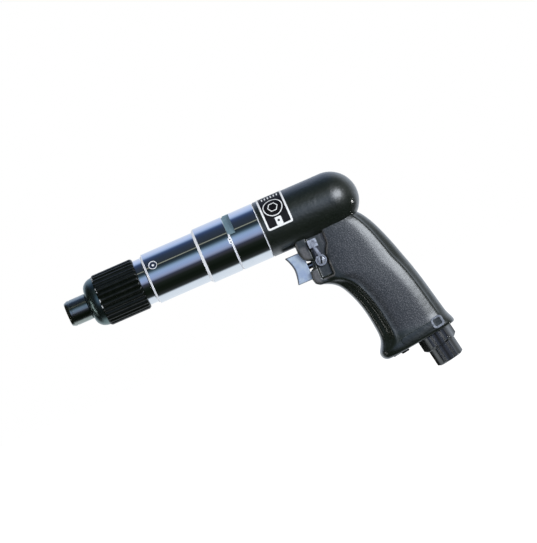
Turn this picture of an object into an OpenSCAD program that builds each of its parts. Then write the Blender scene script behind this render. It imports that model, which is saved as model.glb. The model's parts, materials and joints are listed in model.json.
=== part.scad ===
// Pistol-grip pneumatic screwdriver: quick-change bit chuck, ball clutch set by an outside collar, one
// planetary reduction, vane motor, trigger valve and reverse lever. X runs back along the spindle from the
// mouth of the bit socket, Z is up and the reverse lever is on the -Y side.

/* [Chuck] */
// Outer radius of the chuck sleeve
sleeve_r = 9.3; // [8.8:0.1:9.8]
// Length of the chuck sleeve
sleeve_len = 16.3; // [16:0.1:18]
// Forward travel of the sleeve that frees the bit
sleeve_travel = 2.4; // [2.2:0.1:2.6]
// Outer radius of the spindle
spindle_r = 6; // [5.8:0.1:6.3]
// Width across the flats of the bit socket
bit_af = 6.35; // [6.2:0.05:6.6]
// Depth of the bit socket
bit_depth = 25; // [22:0.5:28]
// Radius of the ball that holds the bit
bit_ball_r = 1.9; // [1.8:0.05:2]

/* [Collar] */
// Length of the cone behind the sleeve
cone_len = 8.5; // [7.5:0.1:10]
// Length of the ribbed collar
collar_len = 31; // [29:0.5:34]
// How far the collar's ribs stand out past the clutch case
collar_rise = 0.4; // [0.2:0.1:0.8]
// Number of ribs round the collar
collar_ribs = 28; // [20:1:36]
// Depth of the grooves between the ribs
rib_depth = 1.1; // [0.8:0.1:1.3]
// Travel of the clutch nut from the lightest to the firmest setting
nut_travel = 3; // [2:0.25:3.5]

/* [Clutch case] */
// Step from the clutch case in to the short neck behind the collar
neck_step = 1.8; // [1.6:0.1:2]
// Length of the neck with its bright chamfer
neck_len = 7.2; // [7:0.1:9]
// Length of the clutch case's slimmer front part
case_len = 39; // [38:0.5:44]
// Step from the clutch case up to its wider rear part
mid_step = 1.9; // [1.4:0.1:2.1]
// Length of the rear part with its step
mid_len = 23; // [22.5:0.5:26]
// Radius of the clutch balls, as a share of the barrel's radius
clutch_ball_share = 0.122; // [0.11:0.002:0.126]
// Number of clutch balls
clutch_balls_n = 6; // [4:1:8]
// Wire radius of the clutch spring, as a share of the barrel's radius
clutch_wire_share = 0.0685; // [0.055:0.0005:0.07]

/* [Gear case] */
// Length of the gear case between the clutch case and the barrel
gear_len = 23.8; // [23:0.2:27]
// Depth of the two wrench flats
flat_depth = 3.2; // [2.4:0.1:3.3]
// Wall of the ring gear outside its teeth
ring_rim = 0.9125; // [0.8:0.0125:1.1]
// Teeth of the sun pinion
sun_teeth = 12; // [12:6:12]
// Teeth of each planet gear
planet_teeth = 15; // [15:3:15]
// Face width of the planet gears
planet_w = 9; // [7:0.5:9.5]

/* [Motor] */
// Outer radius of the barrel and of its round back
barrel_r = 20.4; // [20.2:0.1:21]
// Length of the barrel up to the centre of its round back
barrel_len = 51.2; // [50.5:0.5:56]
// Wall of the barrel round the motor
barrel_wall = 3.2; // [3:0.1:3.6]
// Length of the motor cylinder
cylinder_len = 35.8; // [32:0.5:36]
// Radial room from the rotor out to the motor cylinder's outside
rotor_room = 5.2; // [5:0.1:5.7]
// Number of vanes
vane_n = 5; // [4:1:6]

/* [Grip] */
// Reach of the grip's outline from the trigger mouth to the back of its foot
grip_reach = 82; // [78:1:86]
// Depth of the grip's outline under the spindle axis
grip_drop = 118.3; // [115:0.5:125]
// Width of the grip at its widest
grip_w = 31; // [29:0.5:34]
// Width of the trigger mouth
head_w = 21.6; // [21:0.2:23]
// Tilt of the air inlet from the vertical
inlet_tilt = 9.9; // [8:0.1:11]

/* [Trigger and lever] */
// Height of the trigger
trigger_h = 20.8; // [19:0.2:21.4]
// Width of the trigger
trigger_w = 13; // [12:0.2:13.4]
// Depth of the trigger from its upper tip to its back
trigger_d = 13; // [12:0.2:13.2]
// Radius of the hollow in the trigger's front
trigger_hollow_r = 22.3; // [18:0.1:30]
// Travel of the trigger
trigger_travel = 5; // [3:0.25:5.2]
// Length of the reverse lever from its pivot to its tip
lever_len = 16; // [14:0.2:16.4]
// Width of the lever's finger tab
tab_w = 6.5; // [5:0.1:7]

/* [Air inlet] */
// Width across the flats of the large hexagon
bushing_af = 22.5; // [21:0.5:24]
// Width across the flats of the small hexagon
fitting_af = 17.75; // [17:0.25:19]
// Height of the large hexagon
bushing_h = 9.6; // [8:0.2:11]
// Height of the small hexagon
fitting_h = 12.4; // [12:0.2:15]
// Radius of the air thread's wall
inlet_thread_r = 5.6; // [5.4:0.05:5.8]
// Length of the air thread
inlet_thread_len = 10; // [9:0.5:11]

/* [Hidden] */
$fn = 64;

// Clearances: of a turning fit, of a still fit, between loose parts, and the overrun of a cut
run = 0.04;
snug = 0.02;
gap = 0.3;
over = 1;
edge = 0.6;

// Outer radii, from the barrel forward to the collar
case_step = 0.1;
gear_case_r = barrel_r - case_step;
mid_r = gear_case_r - case_step;
case_r = mid_r - mid_step;
neck_r = case_r - neck_step;
collar_r = case_r + collar_rise;

// Stations along the spindle
x_collar = sleeve_len + cone_len;
x_neck = x_collar + collar_len;
x_case = x_neck + neck_len;
x_mid = x_case + case_len;
x_gear = x_mid + mid_len;
x_barrel = x_gear + gear_len;
x_dome = x_barrel + barrel_len;

// Chuck
nose_inset = 0.9;
clip_t = 0.8;
clip_groove_depth = 0.8;
clip_groove_r = spindle_r - clip_groove_depth;
chuck_wire_r = 0.35;
chuck_spring_len = 4.6;
chuck_spring_room = 1.1;
chuck_turns = 4;
sleeve_bore_r = spindle_r + 2 * chuck_wire_r + chuck_spring_room;
x_clip = nose_inset + edge;
x_land = x_clip + clip_t + chuck_spring_len + gap;
land_len = bit_ball_r;
x_ball = x_land + land_len;
ramp_share = 0.4;
ramp_angle = atan(ramp_share);
ramp_lead = (bit_ball_r + run) * (1 / cos(ramp_angle) - 1) / ramp_share;
ramp_len = ramp_lead + sleeve_travel + bit_ball_r + edge / 4;
ball_dist = spindle_r + run - bit_ball_r - snug;
hex_corner_r = bit_af / 2 / cos(30);

// Collar, nut and neck
tube_wall = 2.9;
collar_wall = 2.1;
neck_tube_r = collar_r - rib_depth - collar_wall;
nut_r = neck_tube_r - tube_wall - 2 * run;
tube_inset = 9.7;
x_tube = x_collar + tube_inset;
nut_inset = 3.2;
nut_front_x = x_collar + nut_inset;
nut_len = 20;
nut_key_len = 2 * nut_travel;
nut_hub_r = (nut_r + spindle_r) / 2;
nut_key_r = nut_r - gap;
nut_key_w = 4;
nut_keys = 4;
spline_len = 5.5;
cone_spigot_len = 3;
cone_spigot_step = 1.4;
cone_spigot_r = nut_r + cone_spigot_step;
cone_lip = 0.9;
cone_inner_share = 0.45;
rib_chamfer = 1.5;
collar_ring_t = 1.2;
ring_inset = 5;
x_ring = x_neck - ring_inset;

// Clutch
case_wall = 3.2;
case_bore_r = case_r - case_wall;
seat_wall = 2.3;
bearing_seat_r = case_r - seat_wall;
mid_wall = 2.9;
spigot_r = mid_r - mid_wall;
spigot_len = 18;
turning_gap = 0.5;
jaw_r = case_bore_r - turning_gap;
clutch_ball_inset = 20;
x_clutch_ball = x_case + clutch_ball_inset;
clutch_ball_r = clutch_ball_share * barrel_r;
clutch_ball_ring_r = (jaw_r + spindle_r) / 2;
pocket_share = 0.72;
pocket_depth = clutch_ball_r * pocket_share;
jaw_t = 8;
driver_t = 6;
x_jaw = x_clutch_ball - clutch_ball_r + pocket_depth - jaw_t;
x_driver = x_clutch_ball + clutch_ball_r - pocket_depth;
race_t = 4.4;
race_washer_share = 0.27;
race_balls_n = 12;
x_race = x_jaw - race_t - snug;
spindle_flat_depth = 1.2;
jaw_flat = spindle_r - spindle_flat_depth;
clutch_turns = 6;
clutch_wire_r = clutch_wire_share * barrel_r;
clutch_spring_ring_r = (nut_r + spindle_r) / 2;
pilot_r = 4;
pilot_len = 9.4;
x_nut_end = nut_front_x + nut_len;
plug_inset = 5.7;
plug_x = x_case + plug_inset;
plug_angle = 27;
plug_r = 2.2;
plug_ring_r = 3.2;
plug_t = 1.4;
key_len = 2.6;
key_h = 4.2;
key_t = 1.8;
key_angle = 5.7;
key_dimple_r = 0.45;
key_dimple_share = 0.25;

// Gear train
pressure_angle = 25;
addendum_share = 0.95;
dedendum_share = 1.25;
backlash = 0.16;
planet_n = 3;
ring_teeth = sun_teeth + 2 * planet_teeth;
ring_gear_wall = 2.7;
ring_out_r = gear_case_r - ring_gear_wall;
gear_module = (ring_out_r - ring_rim) / (ring_teeth / 2 + dedendum_share);
planet_ring_r = gear_module * (sun_teeth + planet_teeth) / 2;
planet_tip_r = gear_module * (planet_teeth / 2 + addendum_share);
sun_tip_r = gear_module * (sun_teeth / 2 + addendum_share);
ring_tip_r = gear_module * (ring_teeth / 2 - addendum_share);
carrier_shaft_r = 8;
carrier_r = ring_tip_r - turning_gap;
plate_t = 4.2;
rear_plate_t = 3;
side_gap = 0.5;
planet_inset = 8;
x_planet = x_gear + planet_inset;
ring_lead = 1.6;
x_ring_gear = x_planet - ring_lead;
ring_run_out = 3.4;
ring_w = planet_w + ring_lead + ring_run_out;
planet_pin_r = 2.5;
bearing_w = 9;
bearing_front_inset = 2.3;
x_bearing_front = x_driver + driver_t + bearing_front_inset;
bearing_rear_inset = 13;
x_bearing_rear = x_gear - bearing_rear_inset;
carrier_bearing_balls = 10;
rotor_bearing_balls = 8;
bearing_ball_share = 0.27;
gear_wall = 4.3;
gear_bore_r = gear_case_r - gear_wall;
rear_spigot_len = 7.2;
rear_spigot_r = barrel_r - barrel_wall - snug;
flat_w = 5.5;
flat_dist = gear_case_r - flat_depth;
flat_angle = 50;
groove_w = 1.5;
groove_depth = 0.9;
case_chamfer = 0.8;

// Motor
x_front_plate = x_barrel + rear_spigot_len;
end_plate_t = 7;
x_cylinder = x_front_plate + end_plate_t;
x_rear_plate = x_cylinder + cylinder_len;
motor_fit = 0.05;
motor_r = barrel_r - barrel_wall;
rotor_r = motor_r - rotor_room;
motor_bore_r = motor_r + motor_fit;
motor_end_x = x_rear_plate + end_plate_t;
shaft_r = 4;
small_bearing_r = 9.5;
small_bearing_w = 6;
rotor_end_gap = 0.35;
eccentric = 1.7;
rotor_tip_gap = 0.1;
cylinder_bore_r = rotor_r + eccentric + rotor_tip_gap;
vane_t = 1.5;
vane_depth = 6;
port_r = 1.6;
port_n = 3;
port_angle = 35;
pinion_tang_r = 2.6;
pinion_hub_r = 4.3;
x_pinion = x_planet;
pinion_face = planet_w + edge;
pinion_end_inset = 5;
x_pinion_end = x_barrel + pinion_end_inset;

// Grip outline: stations of front and back points in shares of the reach and the drop, the width in shares,
// and the form of the section there, 0 at the trigger, 1 along the grip and 2 at the foot
head_inset = 15.7;
x_head = x_barrel + head_inset;
station_shares = [
    [[0.09, 0.085], [0.54, 0.050], 0.80, 0.0],
    [[0.09, 0.190], [0.675, 0.178], 0.86, 0.0],
    [[0.08, 0.287], [0.735, 0.279], 0.91, 0.0],
    [[0.055, 0.380], [0.786, 0.380], 0.94, 0.1],
    [[0.048, 0.428], [0.811, 0.440], 0.96, 0.3],
    [[0.140, 0.447], [0.829, 0.482], 0.97, 0.6],
    [[0.207, 0.478], [0.848, 0.524], 0.98, 0.9],
    [[0.250, 0.524], [0.867, 0.571], 0.99, 1.0],
    [[0.291, 0.592], [0.889, 0.630], 1.0, 1.0],
    [[0.322, 0.660], [0.909, 0.693], 1.0, 1.0],
    [[0.341, 0.735], [0.929, 0.757], 1.0, 1.0],
    [[0.354, 0.811], [0.948, 0.816], 1.0, 1.0],
    [[0.357, 0.858], [0.959, 0.854], 1.0, 1.1],
    [[0.345, 0.892], [0.970, 0.880], 1.02, 1.4],
    [[0.311, 0.930], [0.991, 0.912], 1.07, 1.9],
    [[0.296, 0.951], [1.0, 0.930], 1.09, 2.0],
    [[0.314, 0.985], [0.995, 0.942], 1.06, 2.0],
    [[0.360, 1.0], [0.965, 0.947], 0.98, 2.0]];
// Half sections from front to back: shares of the chord and of the half width
head_shares = [[0, 0], [0, 0.42], [0.004, 0.62], [0.012, 0.69], [0.04, 0.71], [0.09, 0.74], [0.14, 0.78],
    [0.2, 0.84], [0.28, 0.91], [0.37, 0.96], [0.47, 0.99], [0.57, 1], [0.68, 0.99], [0.78, 0.95],
    [0.85, 0.86], [0.885, 0.72], [0.91, 0.63], [0.935, 0.58], [0.965, 0.5], [0.987, 0.36], [0.997, 0.18],
    [1, 0]];
grip_shares = [[0, 0], [0.004, 0.22], [0.02, 0.42], [0.05, 0.54], [0.085, 0.58], [0.125, 0.61], [0.165, 0.71],
    [0.21, 0.84], [0.27, 0.94], [0.35, 0.99], [0.45, 1], [0.55, 1], [0.65, 0.985], [0.74, 0.94],
    [0.80, 0.85], [0.845, 0.71], [0.875, 0.62], [0.91, 0.57], [0.95, 0.49], [0.98, 0.36], [0.995, 0.18],
    [1, 0]];
foot_shares = [[0, 0], [0.004, 0.3], [0.016, 0.52], [0.04, 0.7], [0.075, 0.82], [0.12, 0.9], [0.17, 0.95],
    [0.22, 0.98], [0.28, 1], [0.36, 1], [0.45, 1], [0.55, 1], [0.65, 1], [0.73, 0.99],
    [0.80, 0.96], [0.85, 0.92], [0.89, 0.86], [0.925, 0.77], [0.96, 0.62], [0.984, 0.43], [0.996, 0.22],
    [1, 0]];
rings_per_station = 2;

// Trigger mouth and lever pocket
trigger_share = 0.297;
trigger_z = -trigger_share * grip_drop;
trigger_hollow_depth = 2.6;
mouth_d = 8.6;
// Outlines of the mouth's two cheeks and of the lever pocket, in shares of the mouth's depth and of the
// grip's drop
mouth_shares = [[0.1, 0.1], [0, 0.165], [0, 0.22], [0.17, 0.258], [0.47, 0.276], [1, 0.288], [1.25, 0.31],
    [1, 0.328], [0.55, 0.331], [0.3, 0.344], [0.24, 0.39], [0.35, 0.418], [0.65, 0.434], [2, 0.45], [3, 0.1]];
pocket_shares = [[0.99, 0.142], [2.5, 0.142], [2.5, 0.22], [2.25, 0.245], [2.05, 0.28], [2.03, 0.405],
    [0.99, 0.405]];
slot_back_x = x_head + mouth_d;
trigger_back_x = slot_back_x - trigger_travel - edge;
trigger_x = trigger_back_x - trigger_d;
trigger_lean = 2;
slot_gap = 0.4;
trigger_nose_r = 9.5;
pin_r = 2.2;
throttle_drop = 0.9;
throttle_z = trigger_z - throttle_drop;
valve_bore_r = 4.6;
valve_seat_inset = 15.4;
valve_seat_x = slot_back_x + valve_seat_inset;
bushing_len = 12;
chamber_r = 3.1;
chamber_len = 8.4;
bushing_port_r = 1.3;
port_rise = 1.9;
port_x = valve_seat_x - chamber_len + bushing_port_r + gap;
valve_head_r = 4;
valve_head_t = 2.8;
valve_bore_run = 16;
valve_bore_end_x = valve_seat_x + valve_bore_run;
throttle_turns = 7;
throttle_wire_r = 0.45;
throttle_ring_r = 3;
head_corner_r = 4;
pocket_floor_y = 9.2;
pivot_inset = 13;
pivot_x = x_head + pivot_inset;
pivot_drop = 0.4;
pivot_z = trigger_z - pivot_drop;
lever_t = 2.4;
lever_hub_r = 4;
reverse_valve_r = 3.4;
reverse_valve_len = 3.4;
tab_out = 5.6;
tab_h = 5.6;
stem_w = 4.4;
stem_root_share = 0.7;
screw_r = 1.4;
screw_head_r = 2.6;
screw_head_t = 1.3;

// Air passages and foot
inlet_shares = [0.794, 0.961];
inlet_x = x_head + inlet_shares[0] * grip_reach;
inlet_z = -inlet_shares[1] * grip_drop;
passage_r = 5.2;
passage_share = 0.64;
passage_top = passage_share * grip_drop;
inlet_spigot_r = 9;
inlet_spigot_len = 10;
swivel_r = 7.6;
swivel_len = 6;
seal_r = 1;
hex_chamfer = 1.6;
foot_tilt = 7.5;
exhaust_shares = [0.506, 0.987];
foot_x = x_head + exhaust_shares[0] * grip_reach;
foot_z = -exhaust_shares[1] * grip_drop;
exhaust_rise_share = 0.87;
exhaust_l = 18;
exhaust_w = 22;
exhaust_depth = 9;
cover_t = 1.6;
exhaust_r = 3.1;
exhaust_y = 9.4;
exhaust_lean = 8.3;
foot_screw_r = 1.4;
screen_n = 2;
screen_pitch = 1.6;
screen_hole_r = 0.65;
foot_width_share = 1.05;
slot_n = 5;
slot_share = 0.4;
bar_len = 31;
bar_rise = 8.1;
bar_r = 2.9;
bar_proud = 0.5;
badge_r = 4.4;

// Label plate
label_inset = 3;
label_x = x_barrel + label_inset;
label_len = 19;
label_t = 0.3;
label_low = 8;
label_high = 86;
label_corner_r = 1.5;

// Shapes shared by the pieces: a turned profile of [x, radius] points, a tube and a bar along X
module turned(profile)
    rotate([0, 90, 0]) rotate_extrude() polygon([for (p = profile) [p[1], p[0]]]);

module bar(x, len, r)
    translate([x, 0, 0]) rotate([0, 90, 0]) cylinder(h = len, r = r);

module tube(x, len, r_out, r_in)
    turned([[x, r_in], [x, r_out], [x + len, r_out], [x + len, r_in]]);

module ring_of(n, r, x, start = 0)
    for (i = [0 : n - 1]) rotate([start + 360 * i / n, 0, 0]) translate([x, 0, r]) children();

module hexagon(af) circle(r = af / 2 / cos(30), $fn = 6);

// A round-cornered rectangle, centred
module round_rect(l, w, r) {
    square([l - 2 * r, w], center = true);
    square([l, w - 2 * r], center = true);
    for (sx = [-1, 1], sy = [-1, 1]) translate([sx * (l / 2 - r), sy * (w / 2 - r)]) circle(r = r);
}

// Involute gear outline: half angle of a tooth at radius r, then the points of each tooth from root to tip
function involute(a) = (tan(a) - a * PI / 180) * 180 / PI;
function half_angle(r, n, slack) =
    let (pitch_r = gear_module * n / 2, base_r = pitch_r * cos(pressure_angle), a = acos(min(1, base_r / r)))
    90 / n - slack / (4 * pitch_r) * 180 / PI + involute(pressure_angle) - involute(a);
function tooth_radii(n, tip, root) =
    let (base_r = gear_module * n / 2 * cos(pressure_angle), low = max(base_r, root))
    [root, low, low + (tip - low) / 3, low + (tip - low) * 2 / 3, tip];
function gear_points(n, tip, root, slack) =
    let (radii = tooth_radii(n, tip, root), last = len(radii) - 1)
    [for (i = [0 : n - 1], side = [-1, 1], k = [0 : last])
        let (r = radii[side < 0 ? k : last - k], a = 360 * i / n + side * half_angle(r, n, slack))
        r * [cos(a), sin(a)]];

module gear_outline(n)
    polygon(gear_points(n, gear_module * (n / 2 + addendum_share), gear_module * (n / 2 - dedendum_share),
        backlash));

module gear_space(n)
    polygon(gear_points(n, gear_module * (n / 2 + dedendum_share), gear_module * (n / 2 - addendum_share),
        -backlash));

// A gear is drawn in the YZ plane with its first tooth up
module extruded_x(x, len) translate([x, 0, 0]) rotate([90, 0, 90]) linear_extrude(height = len) children();

// A coil spring along X: one unbroken six-sided tube, its end turns closed, its ends cut square
function coil_x(t, turns, wire_r, len) =
    let (closed = 2 * wire_r + 0.1 * wire_r, free = (len - 2 * wire_r - 2 * closed) / (turns - 2))
    wire_r + (t < 1 ? t * closed : t > turns - 1 ? closed + (turns - 2) * free + (t - turns + 1) * closed
        : closed + (t - 1) * free);
module coil(x, len, ring_r, wire_r, turns, steps = 12) {
    n = turns * steps;
    sides = 6;
    points = [for (i = [0 : n]) let (a = 360 * i / steps) for (k = [0 : sides - 1])
        let (b = 360 * k / sides + 30, r = ring_r + wire_r * cos(b))
        [x + coil_x(i / steps, turns, wire_r, len) + wire_r * sin(b), r * cos(a), r * sin(a)]];
    faces = concat([[for (k = [0 : sides - 1]) k]], [[for (k = [sides - 1 : -1 : 0]) n * sides + k]],
        [for (i = [0 : n - 1], k = [0 : sides - 1]) let (m = (k + 1) % sides)
            [i * sides + k, (i + 1) * sides + k, (i + 1) * sides + m, i * sides + m]]);
    polyhedron(points, faces, convexity = 6);
}

// A ball bearing along X: outer race, inner race and balls, each a solid of its own
module ball_bearing(x, w, r_in, r_out, n) {
    track_r = (r_in + r_out) / 2;
    ball_r = (r_out - r_in) * bearing_ball_share;
    lip = ball_r / 2;
    difference() {
        union() {
            tube(x, w, r_out, track_r + lip);
            tube(x, w, track_r - lip, r_in);
        }
        rotate([0, 90, 0]) translate([0, 0, x + w / 2]) rotate_extrude() translate([track_r, 0])
            circle(r = ball_r + snug);
    }
    ring_of(n, track_r, x + w / 2) sphere(r = ball_r);
}

// Chuck
module chuck_sleeve() {
    front_chamfer = sleeve_r - sleeve_bore_r - edge / 2;
    x_ramp = x_ball - ramp_lead;
    land_r = spindle_r + run;
    color([0.1, 0.1, 0.11]) turned([[0, sleeve_bore_r], [0, sleeve_r - front_chamfer],
        [front_chamfer * 2, sleeve_r], [sleeve_len - edge, sleeve_r], [sleeve_len - gap, sleeve_r - edge / 2],
        [sleeve_len - gap, land_r], [x_ramp + ramp_len + edge / 2, land_r],
        [x_ramp + ramp_len, land_r + ramp_share * ramp_len], [x_ramp, land_r], [x_land, land_r],
        [x_land, sleeve_bore_r]]);
}

module chuck_spring()
    color([0.75, 0.75, 0.78]) coil(x_clip + clip_t + gap / 2, chuck_spring_len,
        (spindle_r + sleeve_bore_r) / 2, chuck_wire_r, chuck_turns);

module chuck_clip()
    color([0.5, 0.5, 0.52]) tube(x_clip, clip_t, sleeve_bore_r - gap / 2, clip_groove_r + snug);

module bit_ball()
    color([0.85, 0.85, 0.87]) translate([x_ball, 0, ball_dist]) sphere(r = bit_ball_r);

module bit_spindle() {
    x_flat = x_race - 3 * edge;
    x_end = x_jaw + jaw_t;
    color([0.62, 0.63, 0.65]) difference() {
        intersection() {
            turned([[nose_inset, 0], [nose_inset, spindle_r - edge], [nose_inset + edge / 2, spindle_r],
                [x_clip - snug, spindle_r], [x_clip - snug, clip_groove_r],
                [x_clip + clip_t + snug, clip_groove_r], [x_clip + clip_t + snug, spindle_r],
                [x_end, spindle_r], [x_end, pilot_r], [x_end + pilot_len - edge, pilot_r],
                [x_end + pilot_len, pilot_r - edge], [x_end + pilot_len, 0]]);
            union() {
                bar(0, x_flat, spindle_r + over);
                translate([x_flat - over, -spindle_r - over, -jaw_flat])
                    cube([x_end + pilot_len - x_flat + 2 * over, 2 * (spindle_r + over), 2 * jaw_flat]);
            }
        }
        extruded_x(nose_inset - over, bit_depth + over) hexagon(bit_af);
        turned([[nose_inset - over, 0], [nose_inset - over, hex_corner_r + over],
            [nose_inset + hex_corner_r / 2, hex_corner_r / 2], [nose_inset + hex_corner_r / 2, 0]]);
        translate([x_ball, 0, 0]) cylinder(h = spindle_r + over, r = bit_ball_r + run);
    }
}

// Collar and nose
module nose_cone() {
    x_end = x_collar + cone_spigot_len;
    x_inner = sleeve_len + cone_len * cone_inner_share;
    bore_r = spindle_r + 2 * gap;
    tip_r = sleeve_r + cone_lip;
    base_r = collar_r - rib_depth;
    color([0.2, 0.2, 0.21]) turned(concat([[x_inner, bore_r], [sleeve_len, bore_r]],
        [for (a = [0 : 15 : 90]) [sleeve_len + cone_len * (1 - cos(a)), tip_r + (base_r - tip_r) * sin(a)]],
        [[x_collar, cone_spigot_r], [x_end, cone_spigot_r], [x_end, nut_hub_r + gap],
            [x_inner, nut_hub_r + gap]]));
}

module adjusting_collar() {
    rib_pitch = 360 / collar_ribs;
    root_r = collar_r - rib_depth;
    end_r = root_r + edge / 4;
    crest_share = 0.5;
    foot_share = 0.72;
    ribs = [for (i = [0 : collar_ribs - 1], s = [[-foot_share, root_r], [-crest_share, collar_r],
        [crest_share, collar_r], [foot_share, root_r]])
        let (a = (i + s[0] / 2) * rib_pitch) s[1] * [cos(a), sin(a)]];
    bore_r = neck_tube_r + run;
    color([0.07, 0.07, 0.075]) difference() {
        intersection() {
            extruded_x(x_collar, collar_len) polygon(ribs);
            turned([[x_collar, 0], [x_collar, end_r], [x_collar + rib_chamfer, collar_r],
                [x_neck - rib_chamfer, collar_r], [x_neck, end_r], [x_neck, 0]]);
        }
        bar(x_tube - gap, x_neck, bore_r);
        bar(x_collar - over, cone_spigot_len + over, cone_spigot_r + snug);
        bar(x_collar, collar_len, nut_hub_r + 2 * run);
        bar(x_collar + cone_spigot_len + spline_len, collar_len, nut_key_r + gap);
        ring_of(nut_keys, 0, x_collar) translate([0, -nut_key_w / 2 - run, 0])
            cube([collar_len, nut_key_w + 2 * run, nut_key_r + run]);
        tube(x_ring - gap, collar_ring_t + 2 * gap, bore_r + collar_ring_t / 2 + gap, neck_tube_r);
    }
}

module collar_ring()
    color([0.7, 0.7, 0.72]) tube(x_ring, collar_ring_t, neck_tube_r + collar_ring_t / 2,
        neck_tube_r - collar_ring_t / 2 + snug);

module adjusting_nut()
    color([0.55, 0.52, 0.45]) difference() {
        union() {
            tube(nut_front_x, nut_len, nut_hub_r, spindle_r + run);
            tube(x_tube + edge, x_nut_end - x_tube - edge, nut_r, spindle_r + run);
            ring_of(nut_keys, 0, nut_front_x) intersection() {
                translate([0, -nut_key_w / 2, spindle_r + edge])
                    cube([nut_key_len + edge, nut_key_w, nut_key_r]);
                bar(-over, nut_key_len + 2 * over, nut_key_r);
            }
        }
        tube(x_nut_end - clutch_wire_r, clutch_wire_r + over, clutch_spring_ring_r + clutch_wire_r + gap,
            clutch_spring_ring_r - clutch_wire_r - gap);
    }

// Clutch
module clutch_spring()
    color([0.6, 0.6, 0.63]) coil(x_nut_end - clutch_wire_r + gap,
        x_race - x_nut_end + clutch_wire_r - 2 * gap, clutch_spring_ring_r, clutch_wire_r, clutch_turns);

module clutch_housing() {
    step = mid_r - case_r;
    color([0.8, 0.81, 0.84]) difference() {
        turned([[x_tube, 0], [x_tube, neck_tube_r], [x_ring - snug, neck_tube_r],
            [x_ring - snug, neck_tube_r - collar_ring_t / 2],
            [x_ring + collar_ring_t + snug, neck_tube_r - collar_ring_t / 2],
            [x_ring + collar_ring_t + snug, neck_tube_r], [x_neck + gap, neck_tube_r],
            [x_neck + gap, neck_r], [x_case - 2.5 * edge, neck_r], [x_case - 1.5 * edge, neck_r + edge],
            [x_case, neck_r + edge], [x_case, case_r - edge / 2], [x_case + edge / 2, case_r], [x_mid - edge, case_r],
            [x_mid + step - edge, mid_r], [x_gear - edge / 2, mid_r], [x_gear, mid_r - edge / 2],
            [x_gear, 0]]);
        bar(x_tube - over, x_gear, nut_r + run);
        bar(x_case - 2 * edge, x_gear, case_bore_r);
        bar(x_bearing_front - gap, x_gear, bearing_seat_r);
        bar(x_gear - spigot_len - gap, x_gear, spigot_r + snug);
        plug_place() translate([0, 0, -plug_t]) cylinder(h = mid_r, r = plug_ring_r + snug);
        plug_place() translate([0, 0, -case_r / 4]) cylinder(h = mid_r, r = plug_r / 2);
        key_block(snug);
    }
}

// The block of the key that is set across the seam of the two cases, grown on all sides by the room round it
module key_block(room)
    rotate([90 - key_angle, 0, 0])
        translate([x_gear - key_len / 2 - room, -key_h / 2 - room, mid_r - key_t - room])
            cube([key_len + 2 * room, key_h + 2 * room, key_t + over]);

module seam_key()
    color([0.72, 0.73, 0.76]) difference() {
        intersection() {
            key_block(0);
            bar(x_gear - key_len, 2 * key_len, mid_r);
        }
        for (s = [-1, 1]) rotate([90 - key_angle, 0, 0])
            translate([x_gear, s * key_h * key_dimple_share, mid_r]) sphere(r = key_dimple_r);
    }

// The plug's place on the case: its seat faces the -Y side, a little above the axis
module plug_place()
    translate([plug_x, 0, 0]) rotate([90 - plug_angle, 0, 0]) translate([0, 0, case_r - edge / 2]) children();

module oil_plug()
    color([0.45, 0.46, 0.48]) plug_place() difference() {
        translate([0, 0, -plug_t]) cylinder(h = plug_t, r = plug_ring_r);
        translate([0, 0, -plug_t / 2]) cylinder(h = plug_t, r = plug_r);
        translate([0, 0, -plug_t - over]) cylinder(h = plug_t + over, r = plug_r / 3, $fn = 6);
    }

module thrust_race() {
    washer_t = race_t * race_washer_share;
    ball_r = race_t / 2 - washer_t + run * 2;
    track_r = (spindle_r + jaw_r) / 2;
    color([0.66, 0.66, 0.68]) {
        difference() {
            union() {
                tube(x_race, washer_t, jaw_r - edge, spindle_r + gap / 2);
                tube(x_race + race_t - washer_t, washer_t, jaw_r - edge, spindle_r + gap / 2);
            }
            rotate([0, 90, 0]) translate([0, 0, x_race + race_t / 2]) rotate_extrude() translate([track_r, 0])
                circle(r = ball_r + snug);
        }
        ring_of(race_balls_n, track_r, x_race + race_t / 2) sphere(r = ball_r);
    }
}

module clutch_jaw()
    color([0.5, 0.5, 0.53]) difference() {
        turned([[x_jaw, 0], [x_jaw, jaw_r - edge], [x_jaw + edge, jaw_r], [x_jaw + jaw_t - edge, jaw_r],
            [x_jaw + jaw_t, jaw_r - edge], [x_jaw + jaw_t, 0]]);
        intersection() {
            bar(x_jaw - over, jaw_t + 2 * over, spindle_r + run);
            translate([x_jaw - over, -jaw_r, -jaw_flat - run])
                cube([jaw_t + 2 * over, 2 * jaw_r, 2 * (jaw_flat + run)]);
        }
        ring_of(clutch_balls_n, clutch_ball_ring_r, x_clutch_ball) sphere(r = clutch_ball_r + run);
    }

module clutch_balls()
    color([0.85, 0.85, 0.87]) ring_of(clutch_balls_n, clutch_ball_ring_r, x_clutch_ball)
        sphere(r = clutch_ball_r);

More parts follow.
